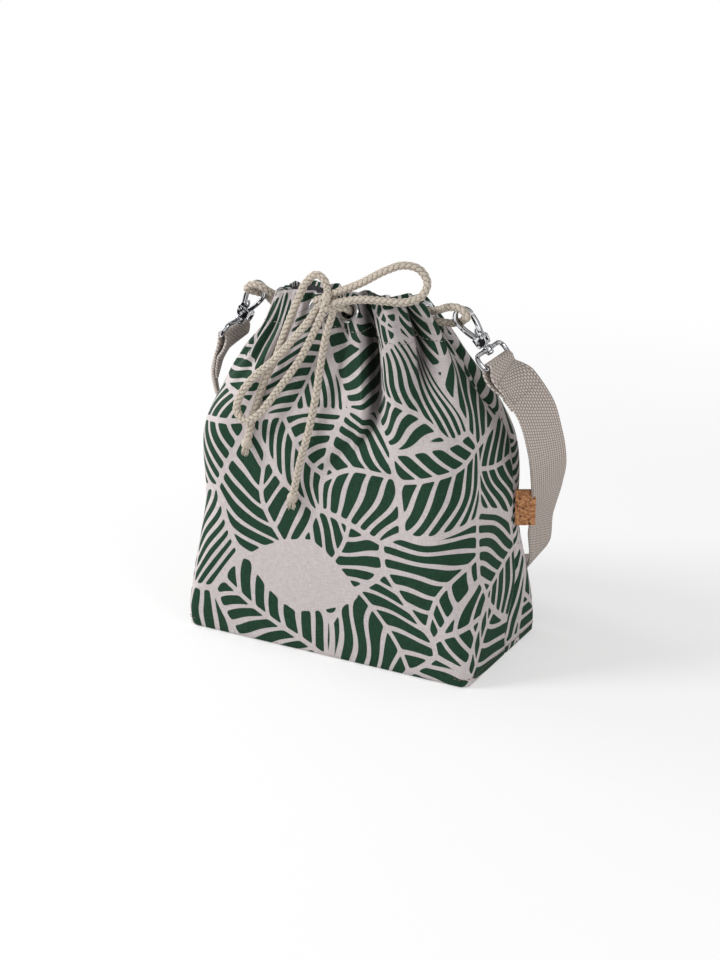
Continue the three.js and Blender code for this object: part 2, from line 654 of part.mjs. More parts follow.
// Side loops: both strands run straight out through the eyelet before they part
function sideLoop(frame, points) {
  const strand = (side, depth) => new THREE.Vector3(0, side * STRAND_SPREAD, depth).applyMatrix4(frame);
  const depths = [-STRAND_DEPTH, -STRAND_DEPTH / 2, 0, STRAND_OUT];
  const start = depths.map((depth) => strand(1, depth));
  const end = [...depths].reverse().map((depth) => strand(-1, depth));
  const eyelet = new THREE.Vector3().setFromMatrixPosition(frame);
  return cordTube([...start, ...vectorsFrom(eyelet, points), ...end], TIGHT_STEPS);
}
bag.add(piece('side_loop_right', sideLoop(rightFrame, SIDE_LOOP_RIGHT), cloth(CORD_BEIGE)));
bag.add(piece('side_loop_left', sideLoop(leftFrame, SIDE_LOOP_LEFT), cloth(CORD_BEIGE)));

// Bow: two leads out of the front eyelets, the knot, two loops and two tails with bound ends
function lead(frame, points) {
  const depths = [-STRAND_DEPTH, -LEAD_INSIDE, LEAD_OUT];
  const inside = depths.map((depth) => new THREE.Vector3(0, 0, depth).applyMatrix4(frame));
  return cordTube([...inside, ...vectorsFrom(rim, points)], LEAD_STEPS);
}
function bowCord(points) {
  return cordTube(vectorsFrom(rim, points));
}
function knot() {
  const ball = new THREE.SphereGeometry(0.5, 16, 12);
  const [middle] = vectorsFrom(rim, [KNOT]);
  return ball.scale(...KNOT_SIZE.toArray()).translate(...middle.toArray());
}
function boundEnd(points) {
  const [before, end] = vectorsFrom(rim, points.slice(-2));
  const along = end.clone().sub(before).normalize();
  const turn = new THREE.Quaternion().setFromUnitVectors(new THREE.Vector3(0, 0, 1), along);
  const r = BOUND_END / 2;
  const profile = [
    [0, 0], [r * BOUND_NOSE, 0], [r, BOUND_EASE], [r, BOUND_LENGTH - BOUND_TAPER],
    [r * BOUND_NOSE, BOUND_LENGTH], [0, BOUND_LENGTH],
  ];
  const halfSection = profile.map(([x, y]) => new THREE.Vector2(x, y));
  const lathe = new THREE.LatheGeometry(halfSection, 12).rotateX(Math.PI / 2);
  const from = end.clone().addScaledVector(along, FIT);
  return lathe.applyQuaternion(turn).translate(from.x, from.y, from.z);
}
bag.add(piece('bow_lead_left', lead(EYELETS[0].frame, LEAD_LEFT), cloth(CORD_BEIGE)));
bag.add(piece('bow_lead_right', lead(EYELETS[1].frame, LEAD_RIGHT), cloth(CORD_BEIGE)));
bag.add(piece('bow_knot', knot(), cloth(CORD_BEIGE)));
bag.add(piece('bow_loop_left', bowCord(BOW_LOOP_LEFT), cloth(CORD_BEIGE)));
bag.add(piece('bow_loop_right', bowCord(BOW_LOOP_RIGHT), cloth(CORD_BEIGE)));
bag.add(piece('bow_tail_left', bowCord(BOW_TAIL_LEFT), cloth(CORD_BEIGE)));
bag.add(piece('bow_tail_right', bowCord(BOW_TAIL_RIGHT), cloth(CORD_BEIGE)));
bag.add(piece('tail_end_left', boundEnd(BOW_TAIL_LEFT), cloth(CORD_BEIGE)));
bag.add(piece('tail_end_right', boundEnd(BOW_TAIL_RIGHT), cloth(CORD_BEIGE)));

// Hook frames: local z along the stem towards the hook's top, local x towards the gate
function hookFrame(eyeletFrame, outwards, drop, leanDegrees, side) {
  const boss = new THREE.Vector3().setFromMatrixPosition(eyeletFrame);
  boss.add(new THREE.Vector3(side * outwards, 0, -drop));
  const lean = THREE.MathUtils.degToRad(leanDegrees);
  const along = new THREE.Vector3(-side * Math.sin(lean), 0, Math.cos(lean));
  const gateWay = new THREE.Vector3(side * Math.cos(lean), 0, Math.sin(lean));
  return new THREE.Matrix4().makeBasis(gateWay, along.clone().cross(gateWay), along).setPosition(boss);
}
const hookFrames = {
  right: hookFrame(rightFrame, BOSS_OUT_RIGHT, BOSS_DROP_RIGHT, LEAN_RIGHT, 1),
  left: hookFrame(leftFrame, BOSS_OUT_LEFT, BOSS_DROP_LEFT, LEAN_LEFT, -1),
};
// A flat outline in the hook's own plane, given thickness about its middle, with its edges eased
function plate(shape, thickness, bevel) {
  const depth = thickness - 2 * bevel;
  const options = { depth, bevelEnabled: bevel > 0, bevelThickness: bevel, bevelSize: bevel,
    bevelOffset: -bevel, bevelSegments: 1, curveSegments: 6 };
  return new THREE.ExtrudeGeometry(shape, options).translate(0, 0, -depth / 2).rotateX(Math.PI / 2);
}
// The hooked arm: up one side, over the eye and down to the nose
function armOutline() {
  const outer = EYE_RADIUS + HOOK_WALL;
  const nose = EYE_HEIGHT - NOSE_DROP;
  const shape = new THREE.Shape();
  shape.moveTo(-BLOCK_WIDTH / 2 + ARM_INSET, PIVOT_HEIGHT - ARM_ROOT);
  shape.lineTo(-BLOCK_WIDTH / 2 + ARM_INSET, BLOCK_TOP);
  shape.quadraticCurveTo(-outer + ARM_BOW, EYE_HEIGHT - ARM_BEND, -outer, EYE_HEIGHT);
  shape.absarc(0, EYE_HEIGHT, outer, Math.PI, 0, true);
  shape.lineTo(outer, nose);
  shape.lineTo(EYE_RADIUS, nose);
  shape.lineTo(EYE_RADIUS, EYE_HEIGHT);
  shape.absarc(0, EYE_HEIGHT, EYE_RADIUS, 0, Math.PI, false);
  shape.quadraticCurveTo(-EYE_RADIUS + ARM_BOW, EYE_HEIGHT - ARM_BEND + 1, ARM_INSIDE, BLOCK_TOP + ARM_STEP);
  shape.lineTo(ARM_INSIDE, PIVOT_HEIGHT - ARM_ROOT);
  shape.closePath();
  return shape;
}
function blockOutline() {
  const half = BLOCK_WIDTH / 2;
  const shape = new THREE.Shape();
  const waist = PIVOT_HEIGHT - 2;
  shape.moveTo(-half + BLOCK_EASE, NECK_START);
  shape.lineTo(half - BLOCK_EASE, NECK_START);
  shape.quadraticCurveTo(half, NECK_START, half + KNUCKLE, waist);
  shape.absarc(PIVOT_X, PIVOT_HEIGHT, BLOCK_TOP - PIVOT_HEIGHT, KNUCKLE_START, Math.PI / 2, false);
  shape.lineTo(-half, BLOCK_TOP);
  shape.lineTo(-half, waist);
  shape.quadraticCurveTo(-half, NECK_START, -half + BLOCK_EASE, NECK_START);
  return shape;
}
const PIN_ROOM = PIN / 2 + FIT;
function hookBody() {
  const arm = solid(plate(armOutline(), HOOK_THICKNESS, HOOK_BEVEL));
  const block = solid(plate(blockOutline(), BLOCK_THICKNESS, HOOK_BEVEL));
  const stem = solid(drum(STEM / 2, -BOSS_LENGTH / 2 - FIT - HEAD_HEIGHT / 2, NECK_START + STEM_ROOT, 16));
  const headTop = -BOSS_LENGTH / 2 - FIT;
  const headProfile = [[0, headTop - HEAD_HEIGHT], [STEM_HEAD * 0.3, headTop - HEAD_HEIGHT],
    [STEM_HEAD / 2, headTop - HEAD_HEIGHT * 0.4], [STEM_HEAD / 2, headTop], [0, headTop]];
  const headPoints = headProfile.map(([r, h]) => new THREE.Vector2(r, h));
  const head = solid(new THREE.LatheGeometry(headPoints, 16).rotateX(Math.PI / 2));
  const slotWidth = TONGUE + 2 * FIT;
  const slotSize = BLOCK_WIDTH;
  const slot = new THREE.BoxGeometry(slotSize, slotWidth, BLOCK_TOP);
  slot.translate(slotSize / 2 + SLOT_START, 0, BLOCK_TOP / 2 + PIVOT_HEIGHT - SLOT_DROP);
  const pinHole = drum(PIN_ROOM, -BLOCK_THICKNESS, BLOCK_THICKNESS, 16).rotateX(Math.PI / 2);
  pinHole.translate(PIVOT_X, 0, PIVOT_HEIGHT);
  return arm.add(block).add(stem).add(head).subtract(solid(slot)).subtract(solid(pinHole));
}
// The gate: a bar that closes the eye, with a tongue round the pin
function gateOutlines() {
  const top = EYE_HEIGHT - NOSE_DROP - NOSE_GAP;
  const inner = EYE_RADIUS;
  const bar = new THREE.Shape();
  const bend = EYE_HEIGHT - ARM_BEND;
  const r = TONGUE_RADIUS;
  bar.moveTo(PIVOT_X - GATE_ROOT, GATE_FOOT);
  bar.lineTo(PIVOT_X + r, GATE_FOOT);
  bar.quadraticCurveTo(inner + GATE_WALL, bend, inner + GATE_WALL, top);
  bar.lineTo(inner + GATE_TIP, top);
  bar.quadraticCurveTo(inner - ARM_BOW, bend, PIVOT_X - GATE_ROOT, GATE_FOOT);
  const tongue = new THREE.Shape();
  tongue.absarc(PIVOT_X, PIVOT_HEIGHT, r, Math.PI, 2 * Math.PI, false);
  tongue.lineTo(PIVOT_X + r, GATE_FOOT + GATE_LAP);
  tongue.lineTo(PIVOT_X - r / 2, GATE_FOOT + GATE_LAP);
  tongue.lineTo(PIVOT_X - r, PIVOT_HEIGHT);
  return { bar, tongue };
}
function gate() {
  const { bar, tongue } = gateOutlines();
  const pinHole = drum(PIN_ROOM, -TONGUE, TONGUE, 16).rotateX(Math.PI / 2);
  pinHole.translate(PIVOT_X, 0, PIVOT_HEIGHT);
  const lever = solid(plate(bar, GATE_THICKNESS, HOOK_BEVEL)).add(solid(plate(tongue, TONGUE, 0)));
  return lever.subtract(solid(pinHole));
}
function gatePin() {
  const half = BLOCK_THICKNESS / 2;
  const shank = solid(drum(PIN / 2, -half - 2 * FIT, half + 2 * FIT, 16));
  const cap = drum(PIN_HEAD / 2, half + FIT, half + FIT + PIN_HEAD_HEIGHT, 16);
  const heads = solid(cap).add(solid(cap.clone().rotateX(Math.PI)));
  return geometryOf(shank.add(heads)).rotateX(Math.PI / 2).translate(PIVOT_X, 0, PIVOT_HEIGHT);
}
// The leaf that holds the gate shut: fixed beside the arm's foot, its free end behind the gate
function gateSpring() {
  const line = new THREE.QuadraticBezierCurve(
    new THREE.Vector2(LEAF_FOOT_X, BLOCK_TOP + FIT),
    new THREE.Vector2(LEAF_BOW_X, GATE_FOOT + GATE_LAP),
    new THREE.Vector2(LEAF_TIP_X, GATE_FOOT + LEAF_TIP),
  );
  const steps = 6;
  const sides = [-1, 1].map((side) => Array.from({ length: steps + 1 }, (_, i) => {
    const tangent = line.getTangent(i / steps);
    const p = line.getPoint(i / steps);
    return new THREE.Vector2(p.x - (side * tangent.y * LEAF) / 2, p.y + (side * tangent.x * LEAF) / 2);
  }));
  const shape = new THREE.Shape([...sides[0], ...sides[1].reverse()]);
  return plate(shape, LEAF_WIDTH, 0);
}

// Strap ring in the hook's frame: its near bar lies along local y through the boss
function strapRing() {
  const wire = RING_WIRE / 2;
  const [x, z, r] = [RING_LENGTH / 2, RING_DEPTH, RING_CORNER];
  const path = new THREE.CurvePath();
  const v = (a, b) => new THREE.Vector3(0, a, b);
  const corner = (from, mid, to) => path.add(new THREE.QuadraticBezierCurve3(from, mid, to));
  const line = (from, to) => path.add(new THREE.LineCurve3(from, to));
  line(v(-x + r, 0), v(x - r, 0));
  corner(v(x - r, 0), v(x, 0), v(x, -r));
  line(v(x, -r), v(x, -z + r));
  corner(v(x, -z + r), v(x, -z), v(x - r, -z));
  line(v(x - r, -z), v(-x + r, -z));
  corner(v(-x + r, -z), v(-x, -z), v(-x, -z + r));
  line(v(-x, -z + r), v(-x, -r));
  corner(v(-x, -r), v(-x, 0), v(-x + r, 0));
  const around = path.getSpacedPoints(RING_STEPS).slice(0, -1);
  const loop = new THREE.CatmullRomCurve3(around, true, 'centripetal');
  const wireRing = solid(new THREE.TubeGeometry(loop, RING_STEPS, wire, 8, true));
  const boss = solid(drum(BOSS / 2, -BOSS_LENGTH / 2, BOSS_LENGTH / 2, 20));
  const hole = solid(drum(STEM / 2 + FIT, -BOSS_LENGTH, BOSS_LENGTH, 20));
  return wireRing.add(boss).subtract(hole);
}
for (const [side, frame] of Object.entries(hookFrames)) {
  const parts = {
    strap_ring: strapRing(), hook_body: hookBody(), gate: gate(), gate_pin: gatePin(),
    gate_spring: gateSpring(),
  };
  for (const [part, shape] of Object.entries(parts)) {
    const geometry = shape.isBufferGeometry ? shape : geometryOf(shape);
    bag.add(piece(`${part}_${side}`, placed(geometry, frame), metal(CHROME)));
  }
}

// Strap band: one woven strip, folded round the far bar of each ring and sewn to itself
const STRAP_STEPS = 56;
const FOLD_STEPS = 8;
const LAYERS = WEBBING + FIT;
const FOLD_RADIUS = RING_WIRE / 2 + FIT + WEBBING / 2;
function bandFrame(at, along, across) {
  return { at, across, face: along.clone().cross(across).normalize() };
}
// The places along one half of the strap, from its ring down
function halfStrap(list, frame, side) {
  const boss = new THREE.Vector3().setFromMatrixPosition(frame);
  return list.map(({ at, width }) => ({
    at: new THREE.Vector3(side * at[0], at[1], at[2]).add(boss),
    width: new THREE.Vector3(side * width[0], width[1], width[2]),
  }));
}
const strapRight = halfStrap(STRAP_RIGHT, hookFrames.right, 1);
const strapLeft = halfStrap(STRAP_LEFT, hookFrames.left, -1);
// Where the band leaves a ring: the middle of its far bar, the way it runs and the fold about it
function ringEnd(frame, firstPlace, direction) {
  const bar = new THREE.Vector3(0, 0, -RING_DEPTH).applyMatrix4(frame);
  const away = firstPlace.at.clone().sub(bar).setY(0).normalize();
  const across = new THREE.Vector3(0, 1, 0);
  const along = away.clone().multiplyScalar(direction);
  const { face } = bandFrame(bar, along, across);
  const start = bar.clone().addScaledVector(face, FOLD_RADIUS);
  const fold = [];
  for (let i = 1; i < FOLD_STEPS; i++) {
    const a = (Math.PI * i) / FOLD_STEPS;
    const at = bar.clone().addScaledVector(face, FOLD_RADIUS * Math.cos(a));
    at.addScaledVector(away, -FOLD_RADIUS * Math.sin(a));
    const tangent = face.clone().multiplyScalar(-Math.sin(a)).addScaledVector(away, -Math.cos(a));
    fold.push(bandFrame(at, tangent.multiplyScalar(-direction), across));
  }
  return { start, fold };
}
function mainRun(from, to) {
  const between = [...strapRight, ...[...strapLeft].reverse()];
  const level = new THREE.Vector3(0, 1, 0);
  const places = [from, ...between.map(({ at }) => at), to];
  const ways = [level, ...between.map(({ width }) => width), level];
  const middle = new THREE.CatmullRomCurve3(places, false, 'centripetal');
  const widths = new THREE.CatmullRomCurve3(ways, false, 'centripetal');
  return Array.from({ length: STRAP_STEPS + 1 }, (_, i) => {
    const t = middle.getUtoTmapping(i / STRAP_STEPS);
    const along = middle.getTangent(t);
    const across = widths.getPoint(t);
    across.addScaledVector(along, -across.dot(along)).normalize();
    return bandFrame(middle.getPoint(t), along, across);
  });
}
// The sewn lap behind the first stretch of a run, listed away from the ring
function lapFrames(run) {
  const lap = [];
  let length = 0;
  for (let i = 0; length < LAP_LENGTH; i++) {
    const { at, across, face } = run[i];
    const sewn = THREE.MathUtils.smoothstep(length, LAP_CLEAR, LAP_SEWN);
    const apart = THREE.MathUtils.lerp(2 * FOLD_RADIUS, LAYERS, sewn);
    lap.push({ at: at.clone().addScaledVector(face, -apart), across, face: face.clone().negate() });
    length += at.distanceTo(run[i + 1].at);
  }
  return lap;
}
function strapBand() {
  const right = ringEnd(hookFrames.right, strapRight[0], 1);
  const left = ringEnd(hookFrames.left, strapLeft[0], -1);
  const run = mainRun(right.start, left.start);
  const rightLap = lapFrames(run).reverse();
  const leftLap = lapFrames([...run].reverse());
  const frames = [...rightLap, ...right.fold.reverse(), ...run, ...left.fold, ...leftLap];
  const corners = [[-1, -1], [1, -1], [1, 1], [-1, 1]];
  const rows = frames.map(({ at, across, face }) => corners.map(([a, b]) => at.clone()
    .addScaledVector(across, (a * WEBBING_WIDTH) / 2)
    .addScaledVector(face, (b * WEBBING) / 2)));
  return loftedSolid(rows, frames[0].at, frames[frames.length - 1].at);
}
bag.add(piece('strap_webbing', strapBand(), cloth(WEBBING_TAUPE)));

bag.name = 'lunch_bag';
export default bag;
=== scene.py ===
import math
import bpy
import numpy as np
from mathutils import Matrix, Vector, noise


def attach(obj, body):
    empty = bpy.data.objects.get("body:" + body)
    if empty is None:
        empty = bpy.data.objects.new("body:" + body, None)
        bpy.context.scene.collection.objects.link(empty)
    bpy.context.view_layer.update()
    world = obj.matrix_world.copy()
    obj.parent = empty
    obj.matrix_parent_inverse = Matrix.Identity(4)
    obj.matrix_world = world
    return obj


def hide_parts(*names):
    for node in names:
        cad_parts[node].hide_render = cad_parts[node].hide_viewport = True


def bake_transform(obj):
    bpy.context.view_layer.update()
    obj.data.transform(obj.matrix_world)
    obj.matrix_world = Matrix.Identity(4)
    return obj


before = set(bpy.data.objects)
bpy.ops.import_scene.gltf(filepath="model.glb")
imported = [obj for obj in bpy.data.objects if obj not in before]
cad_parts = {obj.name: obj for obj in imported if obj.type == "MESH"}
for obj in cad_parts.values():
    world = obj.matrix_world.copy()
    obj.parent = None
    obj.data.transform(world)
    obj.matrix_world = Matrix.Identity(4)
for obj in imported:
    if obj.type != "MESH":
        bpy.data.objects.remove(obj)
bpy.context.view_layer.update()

# Stage: a pale floor in a white studio, one broad lamp from the front left and two weaker ones, from the
# left and the right. The camera stands where the photograph's base corners and upright sides put it.
CAMERA_TURN = math.radians(28.02)
CAMERA_RISE = math.radians(22.238)
CAMERA_DISTANCE = 1.8
CAMERA_LENS = 95.32
SENSOR_WIDTH = 36
AIM_RIGHT = -0.000855
AIM_UP = 0.103385
HALF_FLOOR = 4.0
FLOOR_WHITE = 0.9
FLOOR_GLOW = 0.46
WORLD_LIGHT = 0.64
WHITE = (1, 1, 1, 1)


class Socket:
    """A shader socket that takes Python arithmetic."""

    def __init__(self, finish, socket):
        self.finish = finish
        self.socket = socket

    def math(self, operation, other=0.0, third=0.0):
        return self.finish.node("Math", {"operation": operation}, {0: self, 1: other, 2: third})

    def __rsub__(self, other):
        return self.finish.node("Math", {"operation": "SUBTRACT"}, {0: other, 1: self})

    def ramp(self, low, high):
        settings = {"clamp": True, "interpolation_type": "SMOOTHSTEP"}
        return self.finish.node("MapRange", settings, {0: self, 1: low, 2: high})


def math_method(operation):
    return lambda socket, *others: socket.math(operation, *others)


for method, operation in {
        "__add__": "ADD", "__radd__": "ADD", "__sub__": "SUBTRACT", "__mul__": "MULTIPLY",
        "__rmul__": "MULTIPLY", "__truediv__": "DIVIDE", "__pow__": "POWER", "__abs__": "ABSOLUTE",
        "sin": "SINE", "cos": "COSINE", "fraction": "FRACT", "floor": "FLOOR", "smaller": "SMOOTH_MIN",
        "larger": "MAXIMUM"}.items():
    setattr(Socket, method, math_method(operation))


class Finish:
    """The shading of a material, or of the world, under construction."""

    def __init__(self, name, store=bpy.data.materials):
        self.owner = store.new(name)
        self.owner.use_nodes = True
        self.tree = self.owner.node_tree
        self.tree.nodes.clear()

    def node(self, kind, settings=None, values=None, outputs=0):
        node = self.tree.nodes.new("ShaderNode" + kind)
        for key, value in (settings or {}).items():
            setattr(node, key, value)
        for key, value in (values or {}).items():
            if isinstance(value, Socket):
                self.tree.links.new(value.socket, node.inputs[key])
            else:
                node.inputs[key].default_value = value
        if isinstance(outputs, tuple):
            return [Socket(self, node.outputs[name]) for name in outputs]
        return Socket(self, node.outputs[outputs])

    def mix(self, share, first, second):
        settings = {"data_type": "RGBA", "clamp_factor": True}
        return self.node("Mix", settings, {0: share, 6: first, 7: second}, 2)

    def noise(self, vector, scale, detail=2.0):
        return self.node("TexNoise", None, {"Vector": vector, "Scale": scale, "Detail": detail}, "Fac")

    def parts(self, vector):
        return self.node("SeparateXYZ", None, {0: vector}, ("X", "Y", "Z"))

    def vector(self, x, y):
        return self.node("CombineXYZ", None, {0: x, 1: y})

    def object_place(self):
        return self.node("TexCoord", None, None, "Object")

    def map_place(self, name):
        return self.node("UVMap", {"uv_map": name}, None, "UV")

    def attribute(self, name):
        return self.node("Attribute", {"attribute_name": name}, None, "Fac")

    def surface(self, height, **values):
        values["Normal"] = self.node("Bump", None, {"Height": height, "Distance": 1.0}, "Normal")
        named = {key.replace("_", " "): value for key, value in values.items()}
        return self.output(self.node("BsdfPrincipled", None, named))

    def output(self, shader, kind="OutputMaterial"):
        self.tree.links.new(shader.socket, self.tree.nodes.new("ShaderNode" + kind).inputs["Surface"])
        return self.owner


def colour(red, green, blue):
    """An sRGB colour, 0 to 255, as Blender's linear one."""
    parts = [c / 255 for c in (red, green, blue)]
    return tuple(c / 12.92 if c <= 0.04045 else ((c + 0.055) / 1.055) ** 2.4 for c in parts) + (1.0,)


def floor_finish():
    """A pale floor that fades to plain white away from the bag, for rays that show it."""
    finish = Finish("pale_floor")
    x, y, z = finish.parts(finish.object_place())
    away = (x * x + y * y) ** 0.5
    fade = away.ramp(0.30, 0.80) * (1.0 - FLOOR_GLOW) + FLOOR_GLOW
    plain = finish.node("BsdfDiffuse", None, {"Color": (FLOOR_WHITE, FLOOR_WHITE, FLOOR_WHITE, 1)})
    rays = ("Is Camera Ray", "Is Glossy Ray", "Is Transmission Ray")
    direct, mirrored, through = finish.node("LightPath", None, None, rays)
    seen = direct.larger(mirrored).larger(through)
    white = finish.node("Emission", None, {"Color": WHITE})
    return finish.output(finish.node("MixShader", None, {0: seen * fade, 1: plain, 2: white}))


def flat_mesh(name, points, faces, material):
    mesh = bpy.data.meshes.new(name)
    mesh.from_pydata([tuple(p) for p in points], [], faces)
    mesh.materials.append(material)
    piece = bpy.data.objects.new(name, mesh)
    bpy.context.scene.collection.objects.link(piece)
    return piece


corners = [(x * HALF_FLOOR, y * HALF_FLOOR, 0) for x, y in ((-1, -1), (1, -1), (1, 1), (-1, 1))]
flat_mesh("studio_floor", corners, [(0, 1, 2, 3)], floor_finish())

studio = Finish("studio", bpy.data.worlds)
seen, through = studio.node("LightPath", None, None, ("Is Camera Ray", "Is Transmission Ray"))
soft_light = studio.node("Background", None, {"Strength": WORLD_LIGHT})
backdrop = studio.node("Background", None, {"Color": WHITE})
air = studio.node("MixShader", None, {0: seen.larger(through), 1: soft_light, 2: backdrop})
bpy.context.scene.world = studio.output(air, "OutputWorld")


def lamp(name, place, target, size, power):
    light = bpy.data.lights.new(name, "AREA")
    light.shape = "DISK"
    light.size = size
    light.energy = power
    holder = bpy.data.objects.new(name, light)
    holder.location = place
    holder.rotation_euler = (Vector(target) - Vector(place)).to_track_quat("-Z", "Y").to_euler()
    bpy.context.scene.collection.objects.link(holder)


lamp("front_lamp", (-1.35, -0.95, 1.4), (0, 0, 0.1), 0.7, 26)
lamp("side_lamp", (1.5, -0.6, 1.0), (0, 0, 0.12), 1.0, 8)
lamp("left_lamp", (-1.5, 0.15, 0.6), (0, 0, 0.12), 0.8, 9)

camera = bpy.data.cameras.new("camera")
camera.lens = CAMERA_LENS
camera.sensor_width = SENSOR_WIDTH
viewer = bpy.data.objects.new("camera", camera)
sideways = Vector((math.cos(CAMERA_TURN), math.sin(CAMERA_TURN), 0))
level = Vector((math.sin(CAMERA_TURN), -math.cos(CAMERA_TURN), 0))
backwards = level * math.cos(CAMERA_RISE) + Vector((0, 0, math.sin(CAMERA_RISE)))
upwards = backwards.cross(sideways)
viewer.matrix_world = Matrix((sideways, upwards, backwards)).transposed().to_4x4()
viewer.location = sideways * AIM_RIGHT + upwards * AIM_UP + backwards * CAMERA_DISTANCE
bpy.context.scene.collection.objects.link(viewer)
bpy.context.scene.camera = viewer
bpy.context.scene.view_settings.view_transform = "Standard"

# Canvas body: front and back cut from one printed cotton canvas, sewn at the sides and across the base,
# and folded over at the top into the casing. Filled below, it is drawn in at the neck in folds that
# run down from the eyelets, with one broad pleat lying over the cloth beside the right front eyelet.
MILLIMETRE = 0.001
RIM = 0.250
CASING = 0.024
SHOULDER = 0.181
NECK = 0.196
FRONT_MIDDLE = 0.75
SIDE_PINCH = 0.010
CLOTH_ROUND = 0.64
COLUMNS = 400
SHELL_ROWS = 160
SOLE_ROWS = 3
SOLE_STEP = 0.014
BASE_SEAM = 0.006
SEAM_SWAY = 0.026
SEAM_DEPTH = 0.0011
SEAM_REACH = 0.0016
NECK_SHADE = 0.24
HOLE_MARGIN = 0.0011
FRONT_RISE = 0.005
FRONT_DIP = 0.0025
BACK_DROP = 0.002
BACK_DIP = 0.007
LEFT_DROP = 0.007
RIPPLE = 0.0012
FINE_RIPPLE = 0.0009
SOFT_DENT = 0.0018
FINE_DENT = 0.0006
DEEP = 0.004
DEEPEST = 0.007

# The filled bag, in millimetres: height, half width, half depth, corner radius and lean to the left.
BODY_ROWS = np.array([
    (0, 110, 55, 7, 0), (18, 110.5, 56, 9, 0), (90, 105, 57, 30, 0), (145, 103.5, 54, 27, -2),
    (181, 92, 47, 32, 0), (202, 83, 39, 32, -2.5), (224, 74, 31.5, 29, -4), (250, 60, 22, 21.5, -9),
]) * MILLIMETRE

# Folds: places down the cloth, as height in millimetres, thousandths of the way round from the right seam
# over the back, and millimetres that the cloth goes in. Below zero is a crest that stands out. Then the
# fold's reach to its left and right, and its pull: how far the cloth there lies over to the right.
FOLDS = [
    ([(250, 809, 10), (230, 808, 15), (206, 810, 17), (190, 811, 13), (172, 806, 6), (150, 788, 0)],
     2.2, 10.5, 0),
    ([(250, 799, -1), (230, 799, -3), (206, 801, -3), (185, 802, -2), (165, 796, 0)], 5, 2.2, 2.5),
    ([(250, 880, -5), (228, 872, -9), (205, 866, -11), (180, 858, -7), (150, 852, 0)], 10, 14, 0),
    ([(250, 935, 10), (234, 926, 15), (214, 909, 14), (203, 900, 8), (186, 888, 0)], 2.6, 9, 0),
    ([(250, 968, -12), (237, 966, -13), (222, 962, -9), (200, 953, -4), (170, 945, 0)], 7, 5.5, 0),
    ([(250, 684, 4), (225, 674, 5), (200, 668, 3), (175, 668, 0)], 3.5, 7, 0),
    ([(250, 655, 5), (228, 648, 6), (200, 640, 4), (170, 635, 0)], 3, 6, 0),
    ([(250, 625, 5), (228, 616, 6), (200, 606, 4), (172, 598, 0)], 3.5, 6, 0),
    ([(250, 590, 4), (228, 580, 6), (200, 572, 3), (180, 566, 0)], 4, 6, 0),
    ([(250, 556, 3), (225, 548, 4), (200, 545, 2), (185, 540, 0)], 5, 5, 0),
    ([(250, 750, 2), (228, 752, 3), (205, 757, 3), (170, 765, 0)], 6, 6, 0),
    ([(182, 802, 0), (160, 784, 3.5), (142, 762, 3.5), (128, 742, 0)], 5, 16, 0),
    ([(168, 846, 0), (150, 832, -3), (130, 815, 0)], 18, 22, 0),
    ([(250, 1046, 5), (225, 1038, 7), (195, 1022, 4), (165, 1010, 0)], 5, 7, 0),
    ([(250, 1100, 6), (220, 1095, 8), (190, 1085, 4), (165, 1080, 0)], 4, 7, 0),
    ([(250, 1165, 6), (220, 1165, 9), (190, 1160, 5), (160, 1155, 0)], 4, 7, 0),
    ([(250, 1225, 6), (222, 1222, 9), (195, 1225, 5), (165, 1228, 0)], 6, 4, 0),
    ([(250, 1290, 6), (222, 1292, 10), (190, 1300, 5), (160, 1305, 0)], 8, 4, 0),
    ([(250, 1350, 6), (222, 1355, 8), (190, 1360, 4), (165, 1365, 0)], 7, 4, 0),
    ([(250, 1410, 5), (222, 1415, 7), (190, 1425, 3), (170, 1430, 0)], 6, 5, 0),
]


def smooth(value, low, high):
    t = np.clip((value - low) / (high - low), 0, 1)
    return t * t * (3 - 2 * t)


def body_row(z):
    """Half width, half depth, corner radius and lean at a height, eased from row to row."""
    i = int(np.searchsorted(BODY_ROWS[1:-1, 0], z))
    before, after = BODY_ROWS[i], BODY_ROWS[i + 1]
    below, above = BODY_ROWS[max(i - 1, 0)], BODY_ROWS[min(i + 2, len(BODY_ROWS) - 1)]
    start_slope = (after - below) / (after[0] - below[0])
    end_slope = (above - before) / (above[0] - before[0])
    span = after[0] - before[0]
    t = (z - before[0]) / span
    rise = (2 * t**3 - 3 * t**2 + 1) * before + (3 * t**2 - 2 * t**3) * after
    swing = (t**3 - 2 * t**2 + t) * start_slope + (t**3 - t**2) * end_slope
    return (rise + swing * span)[1:]


def length_round(z):
    half_width, half_depth, corner, lean = body_row(z)
    return 4 * (half_depth + half_width - 2 * corner + math.pi / 2 * corner)


def outline(z, share):
    """Points and outward directions of the plain bag, at shares of the way round from the right seam."""
    half_width, half_depth, corner, lean = body_row(z)
    turn = share % 1
    quarter = np.floor(turn * 4).astype(int) % 4
    part = turn * 4 - quarter
    f = np.where(quarter % 2 == 0, part, 1 - part)
    side = half_depth - corner
    round_corner = math.pi / 2 * corner
    s = f * (side + round_corner + half_width - corner)
    angle = np.clip((s - side) / corner, 0, math.pi / 2)
    run = np.maximum(s - side - round_corner, 0)
    x = half_width - corner + corner * np.cos(angle) - run
    y = np.minimum(s, side) + corner * np.sin(angle)
    sign_x = np.where((quarter == 1) | (quarter == 2), -1, 1)
    sign_y = np.where(quarter >= 2, -1, 1)
    return sign_x * x + lean, sign_y * y, sign_x * np.cos(angle), sign_y * np.sin(angle)


def beside(share, middle, reach):
    """One near a place on the way round, and nothing away from it."""
    return np.exp(-(((share % 1) - middle) / reach) ** 4)


